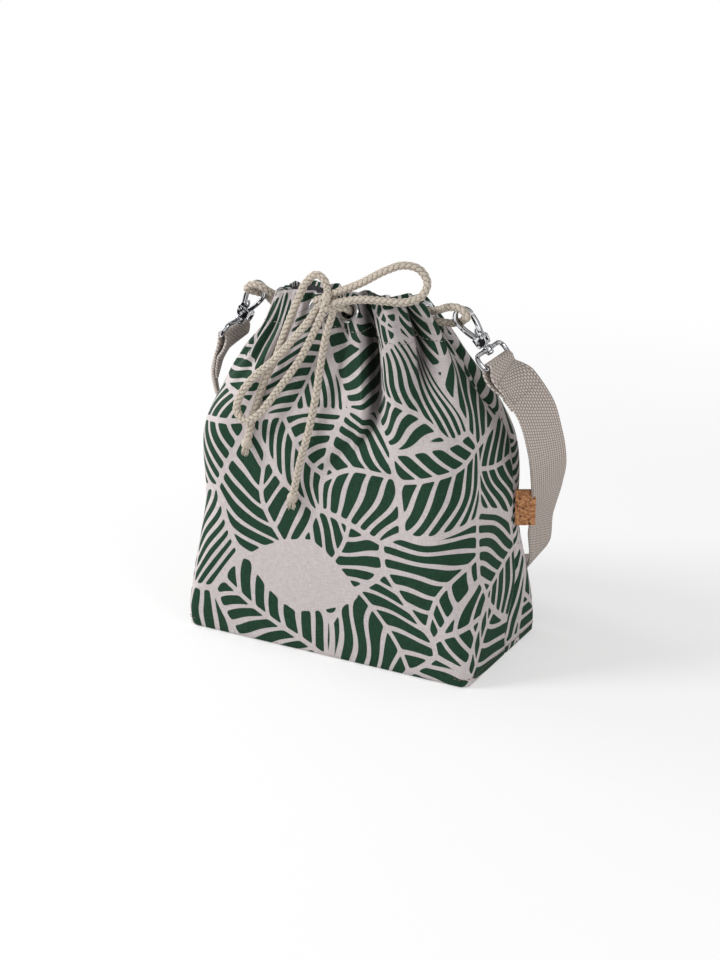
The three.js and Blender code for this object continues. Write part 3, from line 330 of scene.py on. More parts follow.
def rim_lift(z, share):
    """How far the neck rises or drops: up at the front, down at the back and the left."""
    left = ((1 - np.cos(2 * math.pi * share)) / 2) ** 2
    front = -np.sin(2 * math.pi * share)
    back_drop = BACK_DROP + BACK_DIP * beside(share, 0.17, 0.13)
    tilt = np.where(front > 0, FRONT_RISE, -back_drop) * front**2
    dip = FRONT_DIP * beside(share, 0.712, 0.04) * smooth(z, 0.2455, RIM)
    return smooth(z, SHOULDER, RIM) * (tilt - LEFT_DROP * left) - dip


def folded(z, share):
    """How far the folds move the cloth out and along, in metres."""
    out = np.zeros_like(share)
    along = np.zeros_like(share)
    length = length_round(z)
    for line, left, right, pull in FOLDS:
        heights, middles, depths = np.array(line[::-1]).T / 1000
        if z < heights[0] or z > heights[-1] + MILLIMETRE:
            continue
        depth = np.interp(z, heights, depths)
        away = ((share - np.interp(z, heights, middles) + 0.5) % 1 - 0.5) * length
        hump = np.exp(-(away / (np.where(away < 0, left, right) * MILLIMETRE)) ** 2)
        out -= depth * hump
        along += pull * MILLIMETRE * hump * abs(depth) / max(np.abs(depths))
    gather = smooth(z, NECK, RIM)
    calm = 1 - 0.75 * beside(share, 0.745, 0.05)
    turn = 2 * math.pi * share
    ripple = RIPPLE * np.sin(23 * turn + 1.3 * np.sin(3 * turn)) + FINE_RIPPLE * np.sin(37 * turn + 2.1)
    return out + gather * calm * ripple, along


def slack(x, y, z):
    """Soft unevenness of the filled cloth, and the sag just above the base."""
    soft = noise.noise(Vector((x * 14, y * 14, z * 14))) * SOFT_DENT
    fine = noise.noise(Vector((x * 45 + 7, y * 45, z * 30))) * FINE_DENT
    return (soft + fine) * float(smooth(z, 0.004, 0.03))


def plain_skin(z, share, inset=0.0):
    x, y, nx, ny = outline(z, share)
    pinch = SIDE_PINCH * smooth(z, NECK, 0.232) * np.cos(2 * math.pi * share) ** 12
    out = -pinch - inset
    return np.stack([x + nx * out, y + ny * out, z + rim_lift(z, share)], axis=-1), nx, ny


def skin(z, share, inset=0.0, seam=None):
    """Places on the folded cloth. What lies deep inside it follows only the folds' deepest parts."""
    points, nx, ny = plain_skin(z, share, inset)
    out, along = folded(z, share)
    if inset > DEEP:
        steps = np.array([-0.006, -0.003, 0.003, 0.006]) / length_round(z)
        deepest = np.minimum.reduce([out, *(folded(z, share + step)[0] for step in steps)])
        part = smooth(inset, DEEP, DEEPEST)
        out = out + (deepest - out) * part
        along = along * (1 - part)
    if seam is not None:
        out = out - SEAM_DEPTH * np.exp(-(seam / SEAM_REACH) ** 2)
    uneven = np.array([slack(x, y, z) for x, y, height in points])
    out = out + uneven
    points[:, 0] += nx * out - ny * along
    points[:, 1] += ny * out + nx * along
    return points


def base_seam(z):
    return BASE_SEAM * (1 - smooth(z, 0.002, 0.018))


def right_seam(z):
    """How far behind the middle the right side seam lies: it leans back over the belly."""
    return base_seam(z) + SEAM_SWAY * smooth(z, 0, 0.056) * (1 - smooth(z, 0.150, 0.205))


def half_shares(z, is_front):
    length = length_round(z)
    left = 0.5 - base_seam(z) / length
    right = right_seam(z) / length
    low, high = (left, 1 + right) if is_front else (right, left)
    return np.linspace(low, high, COLUMNS + 1)


def shell_rows():
    """Heights and insets from the base's edge up the outside, over the rim and down inside the casing."""
    rows = [(0.0, 0.0022), (0.0006, 0.0009), (0.0018, 0.0)]
    rows += [(z, 0.0) for z in np.linspace(0.0040, RIM - 0.0016, SHELL_ROWS)]
    rows += [(RIM - 0.0005, 0.0004), (RIM, 0.0017), (RIM - 0.0005, 0.0030), (RIM - 0.0018, 0.0036)]
    rows += [(0.2460, 0.0060), (0.2420, 0.0095), (0.2380, 0.0110), (0.2340, 0.0110), (0.2300, 0.0085),
             (0.2262, 0.0052), (0.2235, 0.0044)]
    return rows


def grid_faces(rows, around, ring=True, closed=False):
    """Faces between rows of places. A ring runs all the way round. Closed joins the last row to the first."""
    faces = []
    for i in range(rows if closed else rows - 1):
        here, there = i * around, (i + 1) % rows * around
        for j in range(around if ring else around - 1):
            k = (j + 1) % around
            faces.append((here + j, here + k, there + k, there + j))
    return faces


def smooth_mesh(name, points, faces, material, sharp=None):
    piece = flat_mesh(name, points, faces, material)
    piece.data.polygons.foreach_set("use_smooth", [True] * len(piece.data.polygons))
    if sharp:
        piece.data.set_sharp_from_angle(angle=math.radians(sharp))
    return piece


def lay_map(piece, name, flat):
    """A map of the cloth laid flat, in metres, from a place for each vertex."""
    place_map = piece.data.uv_layers.new(name=name)
    corner_of = np.zeros(len(piece.data.loops), int)
    piece.data.loops.foreach_get("vertex_index", corner_of)
    place_map.data.foreach_set("uv", flat[corner_of].astype(np.float32).ravel())


def keep_values(piece, name, values):
    kept = piece.data.attributes.new(name, "FLOAT", "POINT")
    kept.data.foreach_set("value", values.astype(np.float32))


def half_shell(name, is_front, material):
    """Half of the canvas, with a base, open eyelet holes and a map of the flat cloth."""
    grid, flat, painted_shade = [], [], []
    climb = 0.0
    last = None
    for z, inset in shell_rows():
        shares = half_shares(z, is_front)
        seam = np.minimum(shares - shares[0], shares[-1] - shares) * length_round(z)
        grid.append(skin(z, shares, inset, seam))
        # Painted shade: a darker colour where the folds go deep and towards the top of the neck, kept as an
        # attribute for the canvas material.
        neck = NECK_SHADE * smooth(z, 0.185, 0.235)
        painted_shade.append(np.maximum(smooth(-folded(z, shares)[0], 0.0015, 0.0100), neck))
        here = plain_skin(z, np.array([FRONT_MIDDLE]), inset)[0][0]
        climb += 0.0 if last is None else float(np.linalg.norm(here - last))
        last = here
        flat.append(np.stack([(shares - FRONT_MIDDLE) * CLOTH_ROUND, np.full(len(shares), climb)], axis=1))
    sole = grid[0]
    for k in (0.75, 0.4, 0.0):
        grid.insert(0, sole * [1, k, 1] + [0, (1 - k) * BASE_SEAM, 0])
        flat.insert(0, flat[0] - [0, SOLE_STEP])
        painted_shade.insert(0, painted_shade[0] * 0)
    points = np.concatenate(grid)
    faces = grid_faces(len(grid), COLUMNS + 1, ring=False)
    centres = np.array([points[list(f)].mean(axis=0) for f in faces])
    outside = np.arange(len(faces)) < (SOLE_ROWS + 3 + SHELL_ROWS) * COLUMNS
    keep = np.ones(len(faces), bool)
    for axes, hole in EYELETS.values():
        way = np.array(axes.col[2][:3])
        offset = centres - np.array(axes.translation)
        across = np.linalg.norm(offset - np.outer(offset @ way, way), axis=1)
        keep &= ~(outside & (across < hole + HOLE_MARGIN) & (offset @ way > -0.004))
    faces = [f for f, kept in zip(faces, keep) if kept]
    piece = smooth_mesh(name, points, faces, material)
    lay_map(piece, "cloth", np.concatenate(flat))
    keep_values(piece, "painted_shade", np.concatenate(painted_shade))
    return piece


LEAF_SIZE = 0.062
LEAF_WANDER = 0.034
LEAF_CURVE = 14.0
LOBE_PITCH = 0.0095
LOBE_SPREAD = 0.0048
LOBE_SHARE = 0.80
LOBE_GAP = 0.00125
RIB_HALF = 0.0017
LEAF_MARGIN = 0.0019
PATCH_MIDDLE = (-0.016, 0.060)
PATCH_REACH = (0.045, 0.029)
FULL_TURN = 6.283


def canvas_finish(name, patch):
    """Printed canvas: leaves of curved lobes, each with its own direction, in green on a pale ground."""
    finish = Finish(name)
    place = finish.map_place("cloth")
    s, t, unused = finish.parts(place)
    s_bent = s + (finish.noise(place, 11.0, 1.0) - 0.5) * LEAF_WANDER
    t_bent = t + (finish.noise(finish.vector(t + 3.7, s - 1.9), 10.0, 1.0) - 0.5) * LEAF_WANDER
    cells = {"voronoi_dimensions": "2D"}
    spread = {"Vector": finish.vector(s_bent, t_bent), "Scale": 1 / LEAF_SIZE, "Randomness": 0.85}
    middle, tint = finish.node("TexVoronoi", {**cells, "feature": "F1"}, spread, ("Position", "Color"))
    border = finish.node("TexVoronoi", {**cells, "feature": "DISTANCE_TO_EDGE"}, spread, "Distance")
    middle_s, middle_t, unused = finish.parts(middle)
    turn_by, bend_by, width_by = finish.parts(tint)
    turn = turn_by * FULL_TURN
    away_s = s_bent - middle_s
    away_t = t_bent - middle_t
    along = away_s * turn.cos() + away_t * turn.sin()
    aside = away_t * turn.cos() - away_s * turn.sin() + along * along * (bend_by - 0.5) * LEAF_CURVE
    period = width_by * LOBE_SPREAD + LOBE_PITCH
    wide = abs(aside)
    wave = (wide * 190.0 + turn_by * 6.0).sin() * 0.0011
    phase = ((along - wide * 0.62 - wide * wide * 7.0 + wave) / period).fraction()
    lobe = (0.5 - abs(phase - 0.5)) * period * LOBE_SHARE - LOBE_GAP - wide * 0.022
    edge = border * LEAF_SIZE - LEAF_MARGIN
    shape = lobe.smaller(wide - RIB_HALF, 0.0022).smaller(edge, 0.0036)
    if patch:
        from_s = abs((s - PATCH_MIDDLE[0] - (t - PATCH_MIDDLE[1]) * 0.25) / PATCH_REACH[0])
        from_t = abs((t - PATCH_MIDDLE[1] + (s - PATCH_MIDDLE[0]) * 0.16) / PATCH_REACH[1])
        away = (from_s ** 1.35 + from_t ** 1.35) ** 0.74
        shape = shape.smaller((away - 1.0) * 0.026, 0.003)
    printed = shape.ramp(-0.00012, 0.00022)
    warp = finish.noise(finish.vector(s * 2600.0, t * 160.0), 1.0, 1.0)
    weft = finish.noise(finish.vector(s * 160.0, t * 2600.0), 1.0, 1.0)
    thread = warp * 0.5 + weft * 0.5
    mottle = finish.noise(place, 420.0, 3.0)
    weave_blend = ((thread - 0.5) * 1.1 + (mottle - 0.5) * 0.25 + 0.5).ramp(0.0, 1.0)
    ground = finish.mix(weave_blend, colour(166, 155, 156), colour(218, 210, 210))
    green = finish.mix(weave_blend, colour(16, 39, 27), colour(46, 78, 60))
    base = finish.mix(printed, ground, green)
    # Painted shade: the colour goes dark where the folds go deep and towards the top of the neck.
    base = finish.mix(finish.attribute("painted_shade") * 0.72, base, colour(26, 20, 20))
    height = (thread - 0.5) * 0.00018 + (mottle - 0.5) * 0.00006
    return finish.surface(height, Base_Color=base, Roughness=0.9, Specular_IOR_Level=0.12, Sheen_Weight=0.3,
                          Sheen_Roughness=0.22)


def place_frame(middle, along, up):
    """A frame whose z axis points out of the cloth."""
    out = Vector(along).cross(Vector(up)).normalized()
    side = Vector(along).normalized()
    frame_axes = Matrix((side, out.cross(side), out)).transposed().to_4x4()
    frame_axes.translation = Vector(middle)
    return frame_axes


def front_frame(share):
    at, right, left, above, below = (
        plain_skin(EYELET_HEIGHT + rise, np.array([share + step]))[0][0]
        for rise, step in ((0, 0), (0, 0.01), (0, -0.01), (MILLIMETRE, 0), (-MILLIMETRE, 0)))
    return place_frame(at, right - left, above - below)


def side_frame(share, way):
    at = plain_skin(RIM - 0.0105, np.array([share]))[0][0]
    return place_frame(at, (0, way, 0), (0, 0, 1))


EYELET_HEIGHT = 0.239
FRONT_EYELETS = (0.7155, 0.7835)
EYELETS = {
    "front_eyelet_left": (front_frame(FRONT_EYELETS[0]), 0.0050),
    "front_eyelet_right": (front_frame(FRONT_EYELETS[1]), 0.0050),
    "side_eyelet_right": (side_frame(0, 1), 0.0062),
    "side_eyelet_left": (side_frame(0.5, -1), 0.0062),
}
for side, is_front in (("front", True), ("back", False)):
    canvas = half_shell(f"canvas_{side}", is_front, canvas_finish(f"printed_canvas_{side}", is_front))
    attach(canvas, "bag")
    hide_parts(f"{side}_panel", f"{side}_casing")

# Lining: a dark plain cotton bag inside the canvas, faced up over the casing to just below the rim, so
# that it shows only through the mouth.
LINING_COLUMNS = 300
LINING_BOTTOM = (0.0042, 0.0052)
FACING = np.array([
    (215, 3), (222.5, 5.4), (226.2, 6.2), (230, 9.5), (234, 11.8), (238, 11.8), (242, 10.3), (246, 6.8),
    (247.8, 4.9)]) * MILLIMETRE
LINING_HEIGHTS = [*np.linspace(0.008, RIM - CASING - 0.0050, 66), 0.2225, 0.2245, 0.2262,
                  *np.arange(228, 248, 2) * MILLIMETRE, 0.2478]
LINING = 0.0008


def caps(rows, around):
    """Fans that close both ends, about two places which follow those of the rows."""
    first, end = rows * around, (rows - 1) * around
    faces = []
    for j in range(around):
        k = (j + 1) % around
        faces += [(first, k, j), (first + 1, end + j, end + k)]
    return faces


def lining_piece():
    finish = Finish("dark_lining")
    weave = finish.noise(finish.object_place(), 900.0)
    base = finish.mix(weave, colour(20, 20, 23), colour(46, 45, 50))
    material = finish.surface((weave - 0.5) * 0.0001, Base_Color=base, Roughness=0.92)
    shares = np.arange(LINING_COLUMNS) / LINING_COLUMNS
    rows = [(z, float(np.interp(z, *FACING.T))) for z in LINING_HEIGHTS]
    rows = [(LINING_BOTTOM[0], 0.0060), *rows, *[(z, inset + LINING) for z, inset in rows[::-1]],
            (LINING_BOTTOM[1], 0.0070)]
    rings = [skin(z, shares, inset) for z, inset in rows]
    points = [*np.concatenate(rings), *[(0, 0, z) for z in LINING_BOTTOM]]
    faces = grid_faces(len(rings), LINING_COLUMNS) + caps(len(rings), LINING_COLUMNS)
    return smooth_mesh("dark_lining", points, faces, material)


lining = lining_piece()
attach(lining, "bag")
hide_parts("lining")

# Seam and hem stitching: twisted polyester thread, a plain row round the foot of the casing and a row
# along the boxed ends of the base. Each row follows the cloth just above its surface.
HEM_STITCH_HEIGHT = RIM - CASING + 0.0022
BASE_STITCH_HEIGHT = 0.0065
STITCH = {"Spacing": 0.0034, "Length": 0.0024, "Thickness": 0.0006}
STITCH_LIFT = 0.0002


def thread_finish(name, tone):
    """One colour with a fine uneven grain."""
    finish = Finish(name)
    fibre = finish.noise(finish.object_place(), 2500.0, 3.0)
    dark, light = (tuple(c * share for c in tone[:3]) + (1.0,) for share in (0.72, 1.18))
    base = finish.mix(fibre.ramp(0.2, 0.8), dark, light)
    return finish.surface((fibre - 0.5) * 0.00004, Base_Color=base, Roughness=0.7, Specular_IOR_Level=0.3)


def stitch_nodes():
    """Nodes that set small rods along a line, turned with it, and give them a material."""
    group = bpy.data.node_groups.new("stitch_row", "GeometryNodeTree")
    plugs = {"Geometry": "Geometry", **dict.fromkeys(STITCH, "Float"), "Seed": "Int", "Material": "Material"}
    for label, kind in plugs.items():
        group.interface.new_socket(label, in_out="INPUT", socket_type="NodeSocket" + kind)
    group.interface.new_socket("Geometry", in_out="OUTPUT", socket_type="NodeSocketGeometry")

    def step(kind, values, **settings):
        node = group.nodes.new(kind)
        for key, value in settings.items():
            setattr(node, key, value)
        for key, value in values.items():
            if isinstance(value, bpy.types.NodeSocket):
                group.links.new(value, node.inputs[key])
            else:
                node.inputs[key].default_value = value
        return node.outputs

    given = step("NodeGroupInput", {})
    line = step("GeometryNodeMeshToCurve", {"Mesh": given["Geometry"]})
    evenly = {"Curve": line["Curve"], "Length": given["Spacing"]}
    spots = step("GeometryNodeCurveToPoints", evenly, mode="LENGTH")
    wobble = step("FunctionNodeRandomValue", {2: 0.88, 3: 1.08, "Seed": given["Seed"]}, data_type="FLOAT")
    long = step("ShaderNodeMath", {0: given["Length"], 1: wobble[1]}, operation="MULTIPLY")
    size = step("ShaderNodeCombineXYZ", {0: given["Thickness"], 1: given["Thickness"], 2: long[0]})
    rod = step("GeometryNodeMeshUVSphere", {"Segments": 8, "Rings": 6, "Radius": 0.5})
    turn = step("FunctionNodeAlignRotationToVector", {"Vector": spots["Tangent"]}, axis="Z")
    row = step("GeometryNodeInstanceOnPoints", {"Points": spots["Points"], "Instance": rod["Mesh"],
                                                "Rotation": turn["Rotation"], "Scale": size[0]})
    real = step("GeometryNodeRealizeInstances", {"Geometry": row["Instances"]})
    shade = step("GeometryNodeSetShadeSmooth", {"Geometry": real["Geometry"]})
    paint = step("GeometryNodeSetMaterial", {"Geometry": shade["Geometry"], "Material": given["Material"]})
    step("NodeGroupOutput", {"Geometry": paint["Geometry"]})
    return group


stitch_group = stitch_nodes()


def stitched(name, lines, material, seed):
    """Stitches set along each of the lines, as one plain mesh."""
    points = [tuple(p) for line in lines for p in line]
    starts = set(np.cumsum([len(line) for line in lines]))
    mesh = bpy.data.meshes.new(name)
    mesh.from_pydata(points, [(i - 1, i) for i in range(1, len(points)) if i not in starts], [])
    holder = bpy.data.objects.new(name, mesh)
    bpy.context.scene.collection.objects.link(holder)
    modifier = holder.modifiers.new("row", "NODES")
    modifier.node_group = stitch_group
    given = {**STITCH, "Seed": seed, "Material": material}
    for item in stitch_group.interface.items_tree:
        if item.in_out == "INPUT" and item.name in given:
            modifier[item.identifier] = given[item.name]
    bpy.context.view_layer.update()
    drawn = holder.evaluated_get(bpy.context.evaluated_depsgraph_get())
    plain = bpy.data.meshes.new_from_object(drawn)
    holder.modifiers.clear()
    holder.data = plain
    return holder


def cloth_line(z, low, high, count):
    return skin(z, np.linspace(low, high, count), -STITCH_LIFT)


thread = thread_finish("pale_thread", colour(150, 141, 137))
dark_thread = thread_finish("brown_thread", colour(112, 92, 84))
hem = stitched("hem_stitches", [cloth_line(HEM_STITCH_HEIGHT, 0.0, 1.0, 1200)], thread, 3)
ends = [cloth_line(BASE_STITCH_HEIGHT, low, high, 200) for low, high in ((0.905, 1.09), (0.41, 0.59))]
base_rows = stitched("base_stitches", ends, dark_thread, 4)
for piece in (hem, base_rows):
    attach(piece, "bag")

# Eyelets: chrome-plated rings, set through holes in the casing and rolled over on the outside. Each is
# closed on a flat washer behind the cloth.
FLANGE = 0.0024
BARREL = 0.0005
WASHER_DEPTH = 0.0026
WASHER = 0.0006


def joined(name, parts, material, sharp=None):
    """One piece from several closed shapes, each a list of points and a list of faces."""
    points, faces = [], []
    for shape_points, shape_faces in parts:
        faces += [tuple(len(points) + i for i in face) for face in shape_faces]
        points += shape_points
    return smooth_mesh(name, points, faces, material, sharp)


def turned(profile, axes, segments=64, closed=True):
    """A shape turned about the frame's z axis. A profile that isn't closed starts and ends on the axis."""
    inner = profile if closed else profile[1:-1]
    angles = [2 * math.pi * i / segments for i in range(segments)]
    points = [axes @ Vector((r * math.cos(a), r * math.sin(a), h)) for a in angles for r, h in inner]
    count = len(inner)
    faces = [(a, d, c, b) for a, b, c, d in grid_faces(segments, count, closed, True)]
    if not closed:
        points += [axes @ Vector((0, 0, h)) for r, h in (profile[0], profile[-1])]
        foot = segments * count
        for i in range(segments):
            here, there = i * count, (i + 1) % segments * count
            faces += [(foot, there, here), (foot + 1, here + count - 1, there + count - 1)]
    return points, faces


def chrome_finish(name, tone, roughness, painted_reflection_strength=1.0):
    """Polished plating: a bright mirror, with dark bands of a studio painted into its colour as reflections,
    set by how far it turns from the view, and faint wear.
    """
    finish = Finish(name)
    wear = finish.noise(finish.object_place(), 260.0, 3.0)
    patchy = finish.noise(finish.object_place(), 230.0, 1.0)
    facing = finish.node("LayerWeight", None, {"Blend": 0.5}, "Facing") + (patchy - 0.5) * 0.3
    painted_near_reflection = facing.ramp(0.11, 0.15) * (1.0 - facing.ramp(0.25, 0.31))
    painted_far_reflection = facing.ramp(0.48, 0.56) * (1.0 - facing.ramp(0.68, 0.76))
    # Painted reflections: dark bands in the colour, set by how far the surface turns from the view.
    base = finish.mix(painted_near_reflection.larger(painted_far_reflection * 0.8) * painted_reflection_strength, tone, colour(34, 35, 39))
    return finish.surface((wear - 0.5) * 0.00002, Base_Color=base, Metallic=1.0, Roughness=roughness)


chrome = chrome_finish("chrome", colour(222, 223, 226), 0.10)
eyelet_chrome = chrome_finish("eyelet_chrome", colour(222, 223, 226), 0.14, 0.35)
for name, (axes, hole) in EYELETS.items():
    barrel = hole + BARREL
    rolled = [(barrel + FLANGE * (0.5 + 0.5 * math.cos(a)), -0.0001 + 0.0014 * math.sin(a))
              for a in np.linspace(0, math.pi * 0.82, 12)]
    profile = [(barrel + FLANGE, -0.0016), *rolled, (hole, 0.0006), (hole, -0.0034), (barrel, -0.0034),
               (barrel, -0.0016)]
    eyelet = joined(name + "_ring", [turned(profile, axes)], eyelet_chrome, 60)
    washer_name = name.replace("eyelet", "washer")
    inner, outer = barrel + 0.0003, barrel + 0.0015
    back, front = -WASHER_DEPTH - WASHER, -WASHER_DEPTH
    flat_ring = [(inner, back), (outer, back), (outer, front), (inner, front)]
    washer = joined(washer_name + "_ring", [turned(flat_ring, axes)], eyelet_chrome, 30)
    for piece, node in ((eyelet, name), (washer, washer_name)):
        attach(piece, "bag")
        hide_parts(node)

# Label tab: a strip of cork cloth, folded in two, with nothing on it. Its cut ends are caught in the right
# side seam, and the fold stands out from it.
TAB_WIDTH = 0.026
TAB_LENGTH = 0.014
TAB_THICKNESS = 0.0024
TAB_HEIGHT = 0.103
TAB_TURN = math.radians(28)
TAB_EDGE = 0.0003
TAB_GAP = 0.0004


def arc(middle, radius, start, end, count):
    angles = np.linspace(start, end, count)
    return [(middle[0] + radius * math.cos(a), middle[1] + radius * math.sin(a)) for a in angles]


def bend(start, control, end, count):
    start, control, end = (np.array(p) for p in (start, control, end))
    t = np.linspace(0, 1, count)[:, None]
    return [tuple(p) for p in (1 - t) ** 2 * start + 2 * t * (1 - t) * control + t**2 * end]


def eased_plate(outline_points, thickness, ease, axes):
    """A flat outline in the frame's x and z, given thickness along y, with rounded edges."""
    curve = bpy.data.curves.new("outline", "CURVE")
    curve.dimensions = "2D"
    curve.fill_mode = "BOTH"
    curve.extrude = thickness / 2 - ease
    curve.bevel_depth = ease
    curve.bevel_resolution = 3
    curve.offset = -ease
    line = curve.splines.new("POLY")
    line.points.add(len(outline_points) - 1)
    for point, (x, y) in zip(line.points, outline_points):
        point.co = (x, y, 0, 1)
    line.use_cyclic_u = True
    holder = bpy.data.objects.new("outline", curve)
    mesh = bpy.data.meshes.new_from_object(holder)
    points = [axes @ Vector((v.co.x, -v.co.z, v.co.y)) for v in mesh.vertices]
    faces = [tuple(p.vertices) for p in mesh.polygons]
    bpy.data.objects.remove(holder)
    bpy.data.curves.remove(curve)
    bpy.data.meshes.remove(mesh)
    return points, faces


def cork_finish():
    """Pressed cork: warm brown grains of uneven size with dark flecks."""
    finish = Finish("cork")
    place = finish.object_place()
    grain = finish.node("TexVoronoi", {"feature": "F1"}, {"Vector": place, "Scale": 700.0}, "Color")
    tone, unused, fleck = finish.parts(grain)
    cloud = finish.noise(place, 260.0, 3.0)
    base = finish.mix((tone * 0.6 + cloud * 0.4).ramp(0.2, 0.8), colour(150, 98, 62), colour(196, 142, 98))
    base = finish.mix(fleck.ramp(0.86, 0.92), base, colour(92, 56, 36))
    height = (cloud - 0.5) * 0.0003 + tone * 0.00008
    return finish.surface(height, Base_Color=base, Roughness=0.75, Specular_IOR_Level=0.3)


ply = TAB_THICKNESS / 2
fold_end = arc((TAB_LENGTH - ply, 0), ply, -math.pi / 2, math.pi / 2, 12)
tab_outline = [(0, -ply), *fold_end, (0, ply), (0, TAB_GAP), (TAB_GAP * 8, 0), (0, -TAB_GAP)]
tab_x = body_row(TAB_HEIGHT - TAB_WIDTH / 2)[0] + TAB_EDGE + ply * math.sin(TAB_TURN)
tab_axes = Matrix.Translation((tab_x, SEAM_SWAY - ply, TAB_HEIGHT)) @ Matrix.Rotation(TAB_TURN, 4, "Z")
tab_axes = tab_axes @ Matrix.Rotation(-math.pi / 2, 4, "X")
tab = joined("cork_tab", [eased_plate(tab_outline, TAB_WIDTH, TAB_EDGE, tab_axes)], cork_finish(), 40)
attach(tab, "bag")
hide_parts("label_tab")

# Drawstring: one cotton cord of about 5.5 mm, braided from eight strands, each over two and under two.
# Its stretches inside the casing lie in the hem's tunnel and follow the gathers.
CORD = 0.0055
STRANDS = 4
BRAID_PITCH = 0.0038
BRAID_AROUND = 40
CORD_STEP = 0.0004
TUNNEL_HEIGHT = 0.2385
TUNNEL_DEPTH = 0.0072
TUNNEL_ROUND = length_round(EYELET_HEIGHT)
SIDE_GAP = 0.020 / TUNNEL_ROUND
FRONT_GAP = 0.0085 / TUNNEL_ROUND
TUNNELS = {
    "drawstring_back": (SIDE_GAP, 0.5 - SIDE_GAP),
    "drawstring_front_left": (0.5 + SIDE_GAP, FRONT_EYELETS[0] - FRONT_GAP),
    "drawstring_front_right": (FRONT_EYELETS[1] + FRONT_GAP, 1 - SIDE_GAP),
}


def unit(vectors):
    return vectors / np.linalg.norm(vectors, axis=-1, keepdims=True)


def run_along(line):
    """How far along a line each of its places lies."""
    return np.concatenate([[0], np.cumsum(np.linalg.norm(np.diff(line, axis=0), axis=1))])


def read_off(at, run, table):
    """A table's rows, given along a run, read off at other places on it."""
    return np.stack([np.interp(at, run, column) for column in np.transpose(table)], axis=1)


def smooth_places(points, between=24):
    """Places along a smooth curve through the points."""
    known = np.array(points, float)
    known = np.vstack([2 * known[0] - known[1], known, 2 * known[-1] - known[-2]])
    steps = np.linalg.norm(np.diff(known, axis=0), axis=1) ** 0.5
    knots = np.concatenate([[0], np.cumsum(steps)])
    places = []
    for i in range(len(known) - 3):
        k, p = knots[i:i + 4], known[i:i + 4]

        def blend(low, high, first, last, t):
            return ((k[high] - t) * first + (t - k[low]) * last) / (k[high] - k[low])

        for share in np.arange(between) / between:
            t = k[1] + share * (k[2] - k[1])
            first = [blend(j, j + 1, p[j], p[j + 1], t) for j in range(3)]
            second = [blend(j, j + 2, first[j], first[j + 1], t) for j in range(2)]
            places.append(blend(1, 2, *second, t))
    return np.array([*places, known[-2]])


def even_line(points, step=CORD_STEP):
    """Places about a step apart along the smooth curve through the points."""
    fine = smooth_places(points)
    run = run_along(fine)
    return read_off(np.linspace(0, run[-1], max(int(run[-1] / step), 2) + 1), run, fine)


def carried_frames(line, closed):
    """Two directions across a line, turning as little as they can along it."""
    ahead = np.roll(line, -1, axis=0) - np.roll(line, 1, axis=0)
    if not closed:
        ahead[0] = line[1] - line[0]
        ahead[-1] = line[-1] - line[-2]
    ahead = unit(ahead)
    side = np.cross(ahead[0], [0.3, 0.2, 1.0])
    sides = []
    for way in ahead:
        side = unit(side - way * np.dot(side, way))
        sides.append(side)
    sides = np.array(sides)
    across = np.cross(ahead, sides)
    if closed:
        last = sides[-1] - ahead[0] * np.dot(sides[-1], ahead[0])
        slip = math.atan2(np.dot(last, across[0]), np.dot(last, sides[0]))
        turns = (-slip * np.arange(len(line)) / len(line))[:, None]
        sides = sides * np.cos(turns) + across * np.sin(turns)
        across = np.cross(ahead, sides)
    return sides, across


def tube(line, radii, closed=False):
    """A tube round a line. The radii have a row for each place and a column for each way round."""
    sides, across = carried_frames(line, closed)
    around = radii.shape[1]
    angles = (2 * np.pi * np.arange(around) / around)[None, :, None]
    ring = sides[:, None] * np.cos(angles) + across[:, None] * np.sin(angles)
    points = list((line[:, None] + ring * radii[:, :, None]).reshape(-1, 3))
    faces = grid_faces(len(line), around, closed=closed)
    if not closed:
        points += [line[0], line[-1]]
        faces += caps(len(line), around)
    return points, faces


def float_height(across, along):
    """The swell of one strand: across it, and along the stretch where it lies on top."""
    return np.abs(np.cos(np.pi * (across % 1 - 0.5))) ** 0.55 * (0.2 + 0.8 * np.sin(np.pi * along) ** 0.6)


def braided(name, line, radius, material):
    """A cord with the ridges of strands that cross in two directions, and how deep each place of it lies."""
    angles = (np.arange(BRAID_AROUND) / BRAID_AROUND)[None, :]
    climb = run_along(line)[:, None] / BRAID_PITCH
    right, left = STRANDS * angles + climb, STRANDS * angles - climb
    of_right, of_left = (left + np.floor(right)) % 4, (right + np.floor(left)) % 4
    height = np.where(of_right < 2, float_height(right, np.clip(of_right / 2, 0, 1)),
                      float_height(left, np.clip(of_left / 2 - 1, 0, 1)))
    piece = joined(name, [tube(line, radius * (0.80 + 0.22 * height))], material)
    # How deep each place lies, kept for the painted shade in the cord's grooves.
    keep_values(piece, "painted_groove_shade", np.resize(1 - height.ravel(), len(piece.data.vertices)))
    return piece


def cord_finish():
    """Undyed cotton yarn, with painted shade in the grooves between the strands."""
    finish = Finish("cord_cotton")
    fibre = finish.noise(finish.object_place(), 1500.0, 3.0)
    yarn = finish.mix(fibre.ramp(0.2, 0.8), colour(176, 165, 151), colour(211, 201, 187))
    # Painted shade: the yarn goes darker in the grooves between the strands.
    base = finish.mix(finish.attribute("painted_groove_shade").ramp(0.32, 1.0), yarn, colour(112, 100, 88))
    return finish.surface((fibre - 0.5) * 0.00014, Base_Color=base, Roughness=0.85, Specular_IOR_Level=0.3)


cord_cotton = cord_finish()
for name, (low, high) in TUNNELS.items():
    line = skin(TUNNEL_HEIGHT, np.linspace(low, high, 120), TUNNEL_DEPTH)
    piece = joined(name + "_cord", [tube(line, np.full((len(line), 12), CORD * 0.46))], cord_cotton)
    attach(piece, "bag")
    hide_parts(name)

